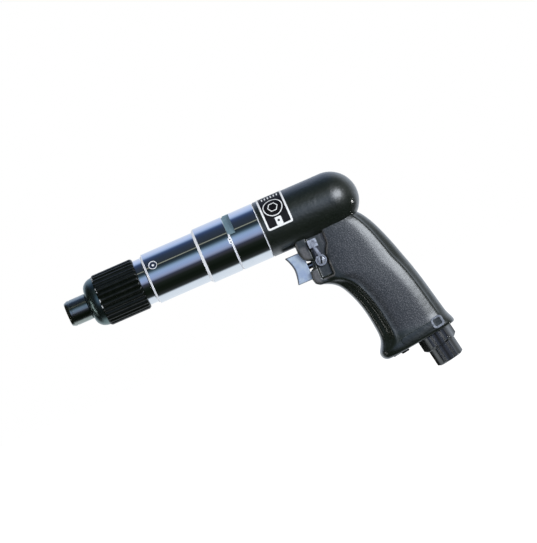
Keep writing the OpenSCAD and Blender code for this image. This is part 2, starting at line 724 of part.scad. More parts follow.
// Planetary reduction
module planet_carrier() {
    x_front = x_planet - side_gap - plate_t;
    x_rear = x_planet + planet_w + side_gap;
    web_r = planet_tip_r + gap;
    color([0.52, 0.53, 0.55]) difference() {
        union() {
            turned([[x_driver, 0], [x_driver, jaw_r - edge], [x_driver + edge, jaw_r],
                [x_driver + driver_t, jaw_r], [x_driver + driver_t, carrier_shaft_r],
                [x_front, carrier_shaft_r], [x_front, carrier_r], [x_front + plate_t, carrier_r],
                [x_front + plate_t, 0]]);
            tube(x_rear, rear_plate_t, carrier_r, sun_tip_r + gap);
            difference() {
                tube(x_front + plate_t, x_rear - x_front - plate_t, carrier_r, sun_tip_r + 2 * gap);
                ring_of(planet_n, planet_ring_r, x_front)
                    rotate([0, 90, 0]) cylinder(h = x_rear - x_front, r = web_r);
            }
        }
        bar(x_driver - over, pilot_len + over, pilot_r + run);
        ring_of(clutch_balls_n, clutch_ball_ring_r, x_clutch_ball) sphere(r = clutch_ball_r + run);
        ring_of(planet_n, planet_ring_r, x_front - over)
            rotate([0, 90, 0])
                cylinder(h = x_rear - x_front + rear_plate_t + 2 * over, r = planet_pin_r + snug);
    }
}

module planet_pins()
    color([0.7, 0.7, 0.72]) ring_of(planet_n, planet_ring_r, x_planet - side_gap - plate_t)
        rotate([0, 90, 0]) cylinder(h = plate_t + planet_w + 2 * side_gap + rear_plate_t, r = planet_pin_r);

module planet_gear(i)
    color([0.58, 0.56, 0.52]) rotate([360 * (i - 1) / planet_n, 0, 0]) translate([0, 0, planet_ring_r])
        difference() {
            extruded_x(x_planet, planet_w) rotate([0, 0, 90]) gear_outline(planet_teeth);
            bar(x_planet - over, planet_w + 2 * over, planet_pin_r + run);
        }
module planet_gear_1() planet_gear(1);
module planet_gear_2() planet_gear(2);
module planet_gear_3() planet_gear(3);

module ring_gear()
    color([0.48, 0.48, 0.5]) difference() {
        bar(x_ring_gear, ring_w, ring_out_r);
        extruded_x(x_ring_gear - over, ring_w + 2 * over) rotate([0, 0, 90]) gear_space(ring_teeth);
    }

module sun_pinion()
    color([0.6, 0.58, 0.54]) difference() {
        union() {
            extruded_x(x_pinion, pinion_face) rotate([0, 0, 90]) gear_outline(sun_teeth);
            bar(x_pinion + pinion_face, x_pinion_end - x_pinion - pinion_face, pinion_hub_r);
        }
        bar(x_pinion + pinion_face, x_pinion_end, pinion_tang_r + snug);
    }

module carrier_bearing_front()
    color([0.7, 0.71, 0.74]) ball_bearing(x_bearing_front, bearing_w, carrier_shaft_r + run,
        bearing_seat_r - snug, carrier_bearing_balls);

module carrier_bearing_rear()
    color([0.7, 0.71, 0.74]) ball_bearing(x_bearing_rear, bearing_w, carrier_shaft_r + run,
        gear_bore_r - snug, carrier_bearing_balls);

module gear_case() {
    x_web = x_ring_gear + ring_w;
    web_bore_r = sun_tip_r + planet_ring_r / 2;
    color([0.78, 0.79, 0.82]) difference() {
        turned([[x_gear - spigot_len, 0], [x_gear - spigot_len, spigot_r], [x_gear, spigot_r],
            [x_gear, gear_case_r - groove_depth], [x_gear + groove_w, gear_case_r - groove_depth],
            [x_gear + groove_w, gear_case_r - edge / 2], [x_gear + groove_w + edge / 2, gear_case_r],
            [x_barrel - case_chamfer, gear_case_r], [x_barrel, gear_case_r - case_chamfer],
            [x_barrel, rear_spigot_r], [x_barrel + rear_spigot_len, rear_spigot_r],
            [x_barrel + rear_spigot_len, 0]]);
        bar(x_gear - spigot_len - over, x_web, gear_bore_r);
        bar(x_ring_gear, ring_w, ring_out_r + snug);
        bar(x_web - over, x_front_plate, web_bore_r);
        bar(x_barrel - edge, x_front_plate, rear_spigot_r - tube_wall);
        for (s = [0, 180]) rotate([90 - flat_angle + s, 0, 0])
            translate([x_gear - snug, -gear_case_r, flat_dist])
                cube([flat_w + snug, 2 * gear_case_r, gear_case_r]);
        key_block(snug);
    }
}

// Motor
module motor_front_plate()
    color([0.55, 0.56, 0.58]) difference() {
        bar(x_front_plate, end_plate_t, motor_r);
        bar(x_front_plate - over, end_plate_t + 2 * over, shaft_r + 2 * gap);
        bar(x_front_plate - over, small_bearing_w + edge + over, small_bearing_r + snug);
    }

module motor_rear_plate()
    color([0.55, 0.56, 0.58]) difference() {
        bar(x_rear_plate, end_plate_t, motor_r);
        bar(x_rear_plate - over, end_plate_t + 2 * over, shaft_r + 2 * gap);
        bar(x_rear_plate + end_plate_t - small_bearing_w - edge, end_plate_t + over, small_bearing_r + snug);
    }

module rotor_bearing_front()
    color([0.7, 0.71, 0.74]) ball_bearing(x_front_plate + edge, small_bearing_w, shaft_r + run,
        small_bearing_r, rotor_bearing_balls);

module rotor_bearing_rear()
    color([0.7, 0.71, 0.74]) ball_bearing(x_rear_plate + end_plate_t - small_bearing_w - edge,
        small_bearing_w, shaft_r + run, small_bearing_r, rotor_bearing_balls);

module motor_cylinder()
    color([0.6, 0.6, 0.62]) difference() {
        bar(x_cylinder, cylinder_len, motor_r);
        translate([0, 0, -eccentric]) bar(x_cylinder - over, cylinder_len + 2 * over, cylinder_bore_r);
        for (i = [1 : port_n], s = [-1, 1]) translate([x_cylinder + cylinder_len * i / (port_n + 1), 0, 0])
            rotate([180 + s * port_angle, 0, 0]) cylinder(h = motor_r + over, r = port_r);
    }

module vane_boxes(t, low, high)
    ring_of(vane_n, 0, x_cylinder + rotor_end_gap) translate([0, -t / 2, low])
        cube([cylinder_len - 2 * rotor_end_gap, t, high - low]);

module rotor() {
    x0 = x_cylinder + rotor_end_gap;
    x1 = x_cylinder + cylinder_len - rotor_end_gap;
    x_tang = x_pinion + pinion_face + edge;
    color([0.5, 0.51, 0.53]) difference() {
        turned([[x_tang, 0], [x_tang, pinion_tang_r], [x_pinion_end + edge, pinion_tang_r],
            [x_pinion_end + edge, shaft_r], [x0, shaft_r], [x0, rotor_r], [x1, rotor_r], [x1, shaft_r],
            [motor_end_x - edge, shaft_r], [motor_end_x - edge, 0]]);
        translate([-over, 0, 0]) vane_boxes(vane_t + run, rotor_r - vane_depth, rotor_r + over);
        translate([over, 0, 0]) vane_boxes(vane_t + run, rotor_r - vane_depth, rotor_r + over);
    }
}

module rotor_vanes()
    color([0.45, 0.3, 0.18]) vane_boxes(vane_t, rotor_r - vane_depth + run, rotor_r - 2 * run);

// Casting: barrel with a round back, grip and trigger mouth in one piece
function blend(a, b, t) = a + (b - a) * t;
function section(form) =
    let (low = form < 1 ? head_shares : grip_shares, high = form < 1 ? grip_shares : foot_shares,
        t = form < 1 ? form : form - 1)
    [for (i = [0 : len(low) - 1]) blend(low[i], high[i], t)];
function smooth(p0, p1, p2, p3, t) =
    (2 * p1 + (p2 - p0) * t + (2 * p0 - 5 * p1 + 4 * p2 - p3) * t * t
        + (3 * p1 - p0 - 3 * p2 + p3) * t * t * t) / 2;
function station(k) = station_shares[max(0, min(len(station_shares) - 1, k))];
function station_at(i, t) = [for (c = [0 : 3]) smooth(station(i - 1)[c], station(i)[c], station(i + 1)[c],
    station(i + 2)[c], t)];
function outline_point(share) = [x_head + share[0] * grip_reach, -share[1] * grip_drop];
function grip_ring(s) =
    let (front = outline_point(s[0]), back = outline_point(s[1]), half = s[2] * grip_w / 2,
        half_section = section(max(0, min(2, s[3]))), last = len(half_section) - 1)
    [for (i = [0 : 2 * last - 1])
        let (side = i < last ? 1 : -1, q = half_section[i < last ? i : 2 * last - i],
            p = blend(front, back, q[0]))
        [p[0], side * q[1] * half, p[1]]];

module grip_loft() {
    last = len(station_shares) - 1;
    rings = [for (i = [0 : last - 1], j = [0 : rings_per_station - 1])
        grip_ring(station_at(i, j / rings_per_station)), grip_ring(station_shares[last])];
    n = len(rings[0]);
    m = len(rings) - 1;
    polyhedron([for (r = rings, p = r) p], concat(
        [[for (k = [0 : n - 1]) k]], [[for (k = [n - 1 : -1 : 0]) m * n + k]],
        [for (i = [0 : m - 1], k = [0 : n - 1]) let (l = (k + 1) % n) each
            [[i * n + k, (i + 1) * n + l, i * n + l], [i * n + k, (i + 1) * n + k, (i + 1) * n + l]]]),
        convexity = 8);
}

// Side outline of the trigger mouth: an upper and a lower cheek with a notch between them
module mouth_outline() polygon([for (s = mouth_shares) [x_head + s[0] * mouth_d, -s[1] * grip_drop]]);

module trigger_mouth()
    intersection() {
        rotate([90, 0, 0]) linear_extrude(height = head_w, center = true) mouth_outline();
        translate([x_head + 1.5 * mouth_d, 0, -grip_drop / 2]) linear_extrude(height = grip_drop)
            round_rect(3 * mouth_d + over, head_w, head_corner_r);
    }

module lever_pocket()
    translate([0, -pocket_floor_y, 0]) rotate([90, 0, 0]) linear_extrude(height = grip_w)
        polygon([for (s = pocket_shares) [x_head + s[0] * mouth_d, -s[1] * grip_drop]]);

module raised_bar()
    translate([foot_x + bar_len / 2, 0, foot_z + bar_rise]) rotate([90, -foot_tilt, 0])
        linear_extrude(height = grip_w * foot_width_share + 2 * bar_proud, center = true) {
            round_rect(bar_len, 2 * bar_r, bar_r - snug);
            translate([bar_len / 2 - bar_r, 0]) circle(r = badge_r);
        }

// Places: the inlet looks down out of the foot, the exhaust up into it
module at_inlet() translate([inlet_x, 0, inlet_z]) rotate([0, -inlet_tilt, 0]) mirror([0, 0, 1]) children();
module at_foot() translate([foot_x, 0, foot_z]) rotate([0, -foot_tilt, 0]) children();

module motor_housing()
    color([0.09, 0.09, 0.1]) difference() {
        union() {
            bar(x_barrel, barrel_len, barrel_r);
            translate([x_dome, 0, 0]) sphere(r = barrel_r);
            grip_loft();
            trigger_mouth();
            raised_bar();
        }
        bar(x_barrel - over, motor_end_x - x_barrel + over + gap, motor_bore_r);
        translate([x_head - over, -trigger_w / 2 - slot_gap, trigger_z - trigger_h / 2 - slot_gap])
            cube([mouth_d + over, trigger_w + 2 * slot_gap, trigger_h + 2 * slot_gap]);
        translate([0, 0, throttle_z]) {
            bar(slot_back_x - over, valve_bore_end_x - slot_back_x + over, valve_bore_r);
            bar(slot_back_x, inlet_x - slot_back_x - passage_top * tan(inlet_tilt), valve_head_r);
        }
        lever_pocket();
        at_pivot() translate([0, 0, -reverse_valve_len - 2 * gap])
            cylinder(h = reverse_valve_len + 2 * gap + over, r = reverse_valve_r + run);
        translate([port_x, 0, throttle_z]) rotate([90, 0, 0])
            cylinder(h = pocket_floor_y - reverse_valve_len / 2, r = bushing_port_r);
        for (s = [-1, 1])
            translate([pivot_x + s * port_rise, reverse_valve_len / 2 - pocket_floor_y, pivot_z])
                cylinder(h = -pivot_z - motor_r + edge, r = bushing_port_r);
        at_inlet() translate([0, 0, -passage_top]) cylinder(h = passage_top + over, r = passage_r);
        at_inlet() {
            translate([0, 0, -inlet_spigot_len])
                cylinder(h = inlet_spigot_len + over, r = inlet_spigot_r + snug);
            translate([0, 0, -snug]) cylinder(h = bushing_h, r = bushing_af / 2 / cos(30) + gap);
        }
        at_foot() translate([-exhaust_l / 2, -exhaust_w / 2, -exhaust_depth])
            cube([exhaust_l, exhaust_w, 2 * exhaust_depth]);
        at_foot() translate([0, exhaust_y, 0]) rotate([0, foot_tilt - exhaust_lean, 0])
            cylinder(h = grip_drop * exhaust_rise_share, r = exhaust_r);
    }

module label_plate()
    color([0.05, 0.05, 0.055]) intersection() {
        translate([label_x, 0, 0]) rotate([0, 90, 0]) rotate([0, 0, 270 - label_high])
            rotate_extrude(angle = label_high + label_low)
                translate([barrel_r + snug, 0]) square([label_t, label_len]);
        union() {
            translate([label_x + label_len / 2, 0, barrel_r / 2]) rotate([90, 0, 0])
                linear_extrude(height = 2 * barrel_r)
                    round_rect(label_len, barrel_r + 2 * (barrel_r + label_t) * sin(label_low),
                        label_corner_r);
            translate([label_x - over, -2 * barrel_r, barrel_r / 2])
                cube([label_len + 2 * over, 4 * barrel_r, barrel_r]);
        }
    }

// Trigger, throttle valve and reverse lever
module trigger()
    color([0.62, 0.7, 0.78]) difference() {
        intersection() {
            rotate([90, 0, 0]) linear_extrude(height = trigger_w, center = true)
                polygon([[trigger_x, trigger_z + trigger_h / 2], [trigger_back_x, trigger_z + trigger_h / 2],
                    [trigger_back_x, trigger_z - trigger_h / 2],
                    [trigger_x + trigger_lean, trigger_z - trigger_h / 2]]);
            translate([trigger_x + trigger_nose_r - edge, 0, trigger_z])
                linear_extrude(height = 2 * trigger_h, center = true) {
                    circle(r = trigger_nose_r);
                    translate([0, -trigger_nose_r]) square([trigger_d, 2 * trigger_nose_r]);
                }
        }
        translate([trigger_x + trigger_lean / 2 + trigger_hollow_depth - trigger_hollow_r, 0, trigger_z])
            rotate([90, trigger_lean, 0]) cylinder(h = 2 * trigger_w, r = trigger_hollow_r, center = true);
        translate([0, 0, throttle_z]) bar(trigger_back_x - trigger_d / 2, trigger_d, pin_r + snug);
    }

module trigger_pin()
    color([0.72, 0.72, 0.74]) translate([0, 0, throttle_z])
        bar(trigger_back_x - trigger_d / 2,
            valve_seat_x - trigger_back_x + trigger_d / 2 - trigger_travel, pin_r);

module throttle_bushing()
    color([0.72, 0.6, 0.35]) translate([0, 0, throttle_z]) difference() {
        bar(valve_seat_x - bushing_len, bushing_len, valve_bore_r - snug);
        bar(valve_seat_x - bushing_len - over, bushing_len + 2 * over, pin_r + run);
        bar(valve_seat_x - chamber_len, chamber_len + over, chamber_r);
        translate([port_x, 0, 0]) rotate([90, 0, 0])
            cylinder(h = valve_bore_r, r = bushing_port_r);
    }

module throttle_valve()
    color([0.7, 0.58, 0.33]) translate([0, 0, throttle_z])
        turned([[valve_seat_x - trigger_travel, 0], [valve_seat_x - trigger_travel, pin_r],
            [valve_seat_x + snug, pin_r], [valve_seat_x + snug, valve_head_r],
            [valve_seat_x + valve_head_t, valve_head_r], [valve_seat_x + valve_head_t, pin_r],
            [valve_seat_x + 2 * valve_head_t, pin_r], [valve_seat_x + 2 * valve_head_t, 0]]);

module throttle_spring()
    color([0.75, 0.75, 0.78]) translate([0, 0, throttle_z]) coil(valve_seat_x + valve_head_t + snug,
        valve_bore_end_x - valve_seat_x - valve_head_t - 2 * snug, throttle_ring_r + throttle_wire_r / 2,
        throttle_wire_r, throttle_turns);

module at_pivot() translate([pivot_x, -pocket_floor_y - gap, pivot_z]) rotate([90, 0, 0]) children();

module reverse_lever()
    color([0.68, 0.7, 0.73]) at_pivot() difference() {
        union() {
            cylinder(h = lever_t, r = lever_hub_r);
            linear_extrude(height = lever_t) polygon([[-lever_hub_r * stem_root_share, 0],
                [-stem_w / 2, lever_len - tab_h], [stem_w / 2, lever_len - tab_h],
                [lever_hub_r * stem_root_share, 0]]);
            translate([stem_w / 2 - tab_w / 2, lever_len - tab_h / 2]) linear_extrude(height = tab_out)
                round_rect(tab_w, tab_h, edge);
        }
        translate([0, 0, -over]) cylinder(h = lever_t + 2 * over, r = screw_r + snug);
    }

module reverse_valve()
    color([0.7, 0.58, 0.33]) at_pivot() difference() {
        translate([0, 0, -gap - reverse_valve_len])
            cylinder(h = reverse_valve_len + gap - snug, r = reverse_valve_r);
        translate([0, 0, -reverse_valve_len]) cylinder(h = reverse_valve_len + over, r = screw_r + snug);
        translate([0, screw_r + edge, -gap - reverse_valve_len - over])
            cube([reverse_valve_r, reverse_valve_r, reverse_valve_len / 2 + over]);
        translate([screw_r + edge, -reverse_valve_r, -gap - reverse_valve_len - over])
            cube([reverse_valve_r, 2 * reverse_valve_r, reverse_valve_len / 2 + over]);
    }

module lever_screw()
    color([0.75, 0.75, 0.78]) at_pivot() difference() {
        union() {
            translate([0, 0, edge - reverse_valve_len])
                cylinder(h = reverse_valve_len - edge + lever_t, r = screw_r);
            translate([0, 0, lever_t]) cylinder(h = screw_head_t, r = screw_head_r);
        }
        translate([-screw_head_r, -edge / 2, lever_t + screw_head_t / 2])
            cube([2 * screw_head_r, edge, screw_head_t]);
    }

// Air inlet and exhaust
module inlet_bushing()
    color([0.12, 0.12, 0.13]) at_inlet() difference() {
        union() {
            intersection() {
                linear_extrude(height = bushing_h) hexagon(bushing_af);
                rotate_extrude() polygon([[0, 0], [bushing_af / 2 + over * 3, 0],
                    [bushing_af / 2 + over * 3, bushing_h - 2 * hex_chamfer],
                    [bushing_af / 2 - hex_chamfer / 4, bushing_h], [0, bushing_h]]);
            }
            translate([0, 0, -inlet_spigot_len + gap]) cylinder(h = inlet_spigot_len, r = inlet_spigot_r);
        }
        translate([0, 0, -inlet_spigot_len - over])
            cylinder(h = inlet_spigot_len + bushing_h + 2 * over, r = passage_r);
        translate([0, 0, bushing_h - swivel_len - seal_r])
            cylinder(h = swivel_len + seal_r + over, r = swivel_r + snug);
    }

module inlet_seal()
    color([0.04, 0.04, 0.04]) at_inlet() translate([0, 0, bushing_h - swivel_len / 2])
        rotate_extrude() translate([swivel_r - seal_r, 0]) circle(r = seal_r - snug);

module inlet_fitting() {
    h = fitting_h;
    color([0.16, 0.16, 0.17]) at_inlet() translate([0, 0, bushing_h]) difference() {
        union() {
            intersection() {
                linear_extrude(height = h) hexagon(fitting_af);
                rotate_extrude() polygon([[0, 0], [fitting_af / 2 + over, 0],
                    [fitting_af / 2 + over * 2, edge], [fitting_af / 2 + over * 2, h - hex_chamfer],
                    [fitting_af / 2 - hex_chamfer / 3, h], [0, h]]);
            }
            difference() {
                translate([0, 0, -swivel_len + gap]) cylinder(h = swivel_len, r = swivel_r);
                translate([0, 0, -swivel_len / 2]) rotate_extrude() translate([swivel_r - seal_r, 0])
                    circle(r = seal_r);
                translate([0, 0, -swivel_len / 2 - seal_r]) difference() {
                    cylinder(h = 2 * seal_r, r = swivel_r + over);
                    translate([0, 0, -over]) cylinder(h = 2 * seal_r + 2 * over, r = swivel_r - seal_r);
                }
            }
        }
        translate([0, 0, h - inlet_thread_len]) cylinder(h = inlet_thread_len + over, r = inlet_thread_r);
        translate([0, 0, -swivel_len - over]) cylinder(h = h + swivel_len, r = passage_r - 2 * edge);
    }
}

module inlet_screen()
    color([0.8, 0.7, 0.4]) at_inlet() translate([0, 0, -inlet_spigot_len + edge]) difference() {
        cylinder(h = edge * 2, r = passage_r - snug);
        for (x = [-screen_n : screen_n], y = [-screen_n : screen_n]) if (norm([x, y]) < screen_n + 0.5)
            translate([x * screen_pitch, y * screen_pitch, -over])
                cylinder(h = 2 * over + 2 * edge, r = screen_hole_r);
    }

module exhaust_silencer()
    color([0.5, 0.48, 0.44]) at_foot() translate([-exhaust_l / 2 + gap, -exhaust_w / 2 + gap, cover_t + snug])
        cube([exhaust_l - 2 * gap, exhaust_w - 2 * gap, exhaust_depth - cover_t - gap]);

module foot_screw_places()
    for (sy = [-1, 1]) translate([0, sy * (exhaust_w / 2 - 2 * foot_screw_r - edge), 0]) children();

module exhaust_cover()
    color([0.1, 0.1, 0.11]) at_foot() difference() {
        translate([-exhaust_l / 2 + snug, -exhaust_w / 2 + snug, 0])
            cube([exhaust_l - 2 * snug, exhaust_w - 2 * snug, cover_t]);
        for (i = [1 : slot_n])
            translate([exhaust_l * (i / (slot_n + 1) - 0.5) - edge, -exhaust_w * slot_share / 2, -over])
                cube([2 * edge, exhaust_w * slot_share, cover_t + 2 * over]);
        foot_screw_places() translate([0, 0, -over])
            cylinder(h = cover_t + 2 * over, r = foot_screw_r + snug);
    }

module exhaust_screws()
    color([0.6, 0.6, 0.62]) at_foot() foot_screw_places() difference() {
        union() {
            cylinder(h = cover_t, r = foot_screw_r);
            translate([0, 0, -edge * 2]) cylinder(h = edge * 2, r = 2 * foot_screw_r);
        }
        translate([0, 0, -edge * 2 - over]) cylinder(h = edge + over, r = foot_screw_r / 2, $fn = 6);
    }

motor_housing();
label_plate();
gear_case();
clutch_housing();
oil_plug();
seam_key();
collar_ring();
adjusting_collar();
nose_cone();
adjusting_nut();
clutch_spring();
thrust_race();
clutch_jaw();
clutch_balls();
bit_spindle();
bit_ball();
chuck_sleeve();
chuck_spring();
chuck_clip();
planet_carrier();
planet_pins();
planet_gear_1();
planet_gear_2();
planet_gear_3();
ring_gear();
sun_pinion();
carrier_bearing_front();
carrier_bearing_rear();
motor_front_plate();
motor_cylinder();
motor_rear_plate();
rotor();
rotor_vanes();
rotor_bearing_front();
rotor_bearing_rear();
trigger();
trigger_pin();
throttle_bushing();
throttle_valve();
throttle_spring();
reverse_lever();
reverse_valve();
lever_screw();
inlet_bushing();
inlet_seal();
inlet_fitting();
inlet_screen();
exhaust_silencer();
exhaust_cover();
exhaust_screws();
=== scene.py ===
import json
import math

import bmesh
import bpy
from mathutils import Matrix, Vector


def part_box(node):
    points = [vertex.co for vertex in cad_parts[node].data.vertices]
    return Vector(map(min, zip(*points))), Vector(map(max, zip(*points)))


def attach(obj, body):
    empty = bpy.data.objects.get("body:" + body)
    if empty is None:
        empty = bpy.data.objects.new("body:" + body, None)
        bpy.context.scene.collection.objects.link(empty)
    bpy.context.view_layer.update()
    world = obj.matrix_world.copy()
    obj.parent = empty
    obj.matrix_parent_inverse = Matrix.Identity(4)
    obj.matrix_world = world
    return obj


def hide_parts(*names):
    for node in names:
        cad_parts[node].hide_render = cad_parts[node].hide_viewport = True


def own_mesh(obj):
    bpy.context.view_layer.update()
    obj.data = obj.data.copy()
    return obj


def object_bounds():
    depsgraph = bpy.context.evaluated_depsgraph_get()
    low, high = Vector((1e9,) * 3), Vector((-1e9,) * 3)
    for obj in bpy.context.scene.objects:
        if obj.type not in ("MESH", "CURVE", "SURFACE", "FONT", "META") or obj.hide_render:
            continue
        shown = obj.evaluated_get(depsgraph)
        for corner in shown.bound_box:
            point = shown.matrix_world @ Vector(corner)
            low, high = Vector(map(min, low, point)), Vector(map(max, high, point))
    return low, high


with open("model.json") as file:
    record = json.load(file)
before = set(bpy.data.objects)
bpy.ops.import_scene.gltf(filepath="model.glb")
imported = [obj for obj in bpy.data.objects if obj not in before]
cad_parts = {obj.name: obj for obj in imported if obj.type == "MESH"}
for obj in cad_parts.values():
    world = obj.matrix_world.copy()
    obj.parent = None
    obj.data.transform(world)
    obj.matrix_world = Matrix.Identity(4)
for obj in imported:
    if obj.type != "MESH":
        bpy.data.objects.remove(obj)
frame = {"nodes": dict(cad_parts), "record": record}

cad_low, cad_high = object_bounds()
scene = bpy.context.scene
scene.view_settings.view_transform = "Standard"
mm = 0.001


# The studio: a pale floor in a white room, whose windows and dark walls the polished steel mirrors.
# The camera looks square at the tool's side from far off, rolled so that the barrel rises to the right.
class Reading:
    """A socket that shader sums are written with."""

    def __init__(self, shader, socket):
        self.shader, self.socket = shader, socket

    def out(self, name):
        return Reading(self.shader, self.socket.node.outputs[name])

    def math(self, operation, *others):
        return self.shader.node("Math", {"operation": operation}, dict(enumerate((self, *others))))

    def turned_round(self, operation, other):
        return self.shader.node("Math", {"operation": operation}, {0: other, 1: self})

    def __add__(self, other):
        return self.math("ADD", other)

    def __sub__(self, other):
        return self.math("SUBTRACT", other)

    def __mul__(self, other):
        return self.math("MULTIPLY", other)

    def __truediv__(self, other):
        return self.math("DIVIDE", other)

    def __pow__(self, other):
        return self.math("POWER", other)

    def __rsub__(self, other):
        return self.turned_round("SUBTRACT", other)

    def __rtruediv__(self, other):
        return self.turned_round("DIVIDE", other)

    __radd__ = __add__
    __rmul__ = __mul__

    def clamped(self):
        return self.shader.node("Clamp", {}, {"Value": self})

    def abs(self):
        return self.math("ABSOLUTE")


class Shader:
    """The node tree of a material or of the room's light."""

    def __init__(self, owner):
        owner.use_nodes = True
        self.tree = owner.node_tree
        self.tree.nodes.clear()

    def node(self, kind, settings=None, sockets=None, output=0):
        made = self.tree.nodes.new("ShaderNode" + kind)
        for name, value in (settings or {}).items():
            if name == "stops":
                ramp = made.color_ramp
                ramp.elements.remove(ramp.elements[1])
                for i, (place, colour) in enumerate(value):
                    stop = ramp.elements[0] if i == 0 else ramp.elements.new(place)
                    stop.position, stop.color = place, (*colour, 1)
            else:
                setattr(made, name, value)
        for name, value in (sockets or {}).items():
            if isinstance(value, Reading):
                self.tree.links.new(value.socket, made.inputs[name])
            else:
                made.inputs[name].default_value = value
        return Reading(self, made.outputs[output] if made.outputs else None)

    def mix(self, share, first, second):
        colours = {i: c if isinstance(c, Reading) else (*c, 1) for i, c in ((6, first), (7, second))}
        return self.node("Mix", {"data_type": "RGBA"}, {0: share, **colours}, 2)


photo_scale = 0.70 * mm
photo_height = 543
barrel_rise = math.radians(23.6)
lens, sensor = 200, 36
looked_at = Vector((140.66, 0, -28.16)) * mm
right = Vector((math.cos(barrel_rise), 0, -math.sin(barrel_rise)))
up = Vector((math.sin(barrel_rise), 0, math.cos(barrel_rise)))
back = Vector((0, -1, 0))
camera_data = bpy.data.cameras.new("camera")
camera_data.lens, camera_data.sensor_width = lens, sensor
camera = bpy.data.objects.new("camera", camera_data)
scene.collection.objects.link(camera)
stand_off = photo_height * photo_scale * lens / sensor
camera.matrix_world = (
    Matrix.Translation(looked_at + back * stand_off) @ Matrix((right, up, back)).transposed().to_4x4()
)
scene.camera = camera

# What the steel mirrors, by the angle round the spindle from the camera's side:
# straight ahead 0, overhead 90, underneath -90
room_bands = [
    (-180, (0.80, 0.86, 0.92)), (-105, (0.72, 0.79, 0.86)), (-98, (0.62, 0.69, 0.75)),
    (-92.5, (0.12, 0.14, 0.15)), (-87, (0.026, 0.030, 0.030)), (-70, (0.007, 0.010, 0.007)),
    (-51, (0.005, 0.008, 0.005)), (-33, (0.011, 0.015, 0.012)), (-22, (0.034, 0.036, 0.046)),
    (-15.5, (0.040, 0.046, 0.076)), (-10, (0.17, 0.20, 0.30)), (-4.5, (0.275, 0.33, 0.50)),
    (3, (0.28, 0.37, 0.59)), (12, (0.29, 0.40, 0.62)), (18.5, (0.25, 0.36, 0.53)),
    (25, (0.13, 0.20, 0.28)), (31, (0.042, 0.070, 0.092)), (37, (0.018, 0.030, 0.040)),
    (45.9, (0.020, 0.028, 0.034)), (46.9, (0.36, 0.38, 0.31)), (48.7, (0.36, 0.38, 0.31)),
    (49.7, (0.026, 0.034, 0.042)), (76, (0.028, 0.041, 0.070)), (90, (0.034, 0.056, 0.120)),
    (95.5, (0.052, 0.085, 0.190)), (100, (0.11, 0.17, 0.31)), (108.5, (0.34, 0.45, 0.69)),
    (120, (0.48, 0.59, 0.85)), (140, (0.57, 0.66, 0.86)), (160, (0.70, 0.78, 0.92)),
    (180, (0.80, 0.86, 0.92)),
]
side_wall, pale_window = (0.010, 0.012, 0.009), (0.86, 0.95, 1.08)
room_light, plain_white = (0.50, 0.52, 0.56), (1, 1, 1)
room = bpy.data.worlds.new("white_room")
scene.world = room
sky = Shader(room)
way = sky.node("SeparateXYZ", {}, {0: sky.node("TexCoord", output="Generated")})
height = way.out("Z").math("ARCTAN2", way.out("Y") * -1) / math.tau + 0.5
bands = sky.node("ValToRGB", {"stops": [(a / 360 + 0.5, c) for a, c in room_bands]}, {0: height})
aside = ((way.out("X").abs() - 0.32) * 5).clamped() * ((0.75 - way.out("Y")) * 4).clamped()
window = ((way.out("X") - 0.25) * 3).clamped() * ((way.out("Z") + 0.45) * 3).clamped()
window = window * ((way.out("Y") - 0.10) * 2.2).clamped()
mirrored = sky.mix(aside, bands, side_wall)
mirrored = sky.mix(window, mirrored, pale_window)
path = sky.node("LightPath")
seen = sky.mix(path.out("Is Glossy Ray"), room_light, mirrored)
seen = sky.mix(path.out("Is Camera Ray"), seen, plain_white)
sky.node("OutputWorld", {}, {0: sky.node("Background", {}, {0: seen})})
lamp_distance = 0.9


def lamp(name, direction, width, height, watts):
    """A soft rectangular lamp that faces the tool."""
    light = bpy.data.lights.new(name, "AREA")
    light.shape, light.size, light.size_y, light.energy = "RECTANGLE", width, height, watts
    place = looked_at + Vector(direction).normalized() * lamp_distance
    facing = (looked_at - place).to_track_quat("-Z", "Y").to_matrix().to_4x4()
    holder = bpy.data.objects.new(name, light)
    holder.matrix_world = Matrix.Translation(place) @ facing
    scene.collection.objects.link(holder)
    return holder


key = lamp("key", (0.60, -0.77, 0.24), 0.50, 0.40, 5.6)
key.data.color = (0.88, 0.93, 1.0)
lamp("window", (0.96, 0.02, 0.26), 0.50, 0.70, 0.15)
lamp("left", (-0.97, -0.14, -0.14), 0.07, 0.56, 0.55)
lamp("glint", (0.93, 0.10, -0.35), 0.05, 0.05, 0.8)
fill = lamp("fill", (-0.80, -0.60, 0.0), 0.40, 0.60, 3.0)
fill.visible_glossy = False

floor_half, floor_gap, floor_glow, floor_share = 4, 0.5 * mm, 1.16, 0.9
floor_bm = bmesh.new()
bmesh.ops.create_grid(floor_bm, x_segments=1, y_segments=1, size=floor_half)
bmesh.ops.translate(floor_bm, vec=(0, 0, cad_low.z - floor_gap), verts=floor_bm.verts)
floor_mesh = bpy.data.meshes.new("floor")
floor_bm.to_mesh(floor_mesh)
floor_bm.free()
floor = bpy.data.objects.new("floor", floor_mesh)
scene.collection.objects.link(floor)
floor.visible_glossy = False
pale_paper = bpy.data.materials.new("pale_paper")
paper = Shader(pale_paper)
matt = paper.node("BsdfDiffuse", {}, {"Color": (0.92, 0.92, 0.92, 1)})
lit = paper.node("Emission", {}, {"Color": (1, 1, 1, 1), "Strength": floor_glow})
share = paper.node("LightPath", output="Is Camera Ray") * floor_share
paper.node("OutputMaterial", {}, {0: paper.node("MixShader", {}, {0: share, 1: matt, 2: lit})})
floor_mesh.materials.append(pale_paper)


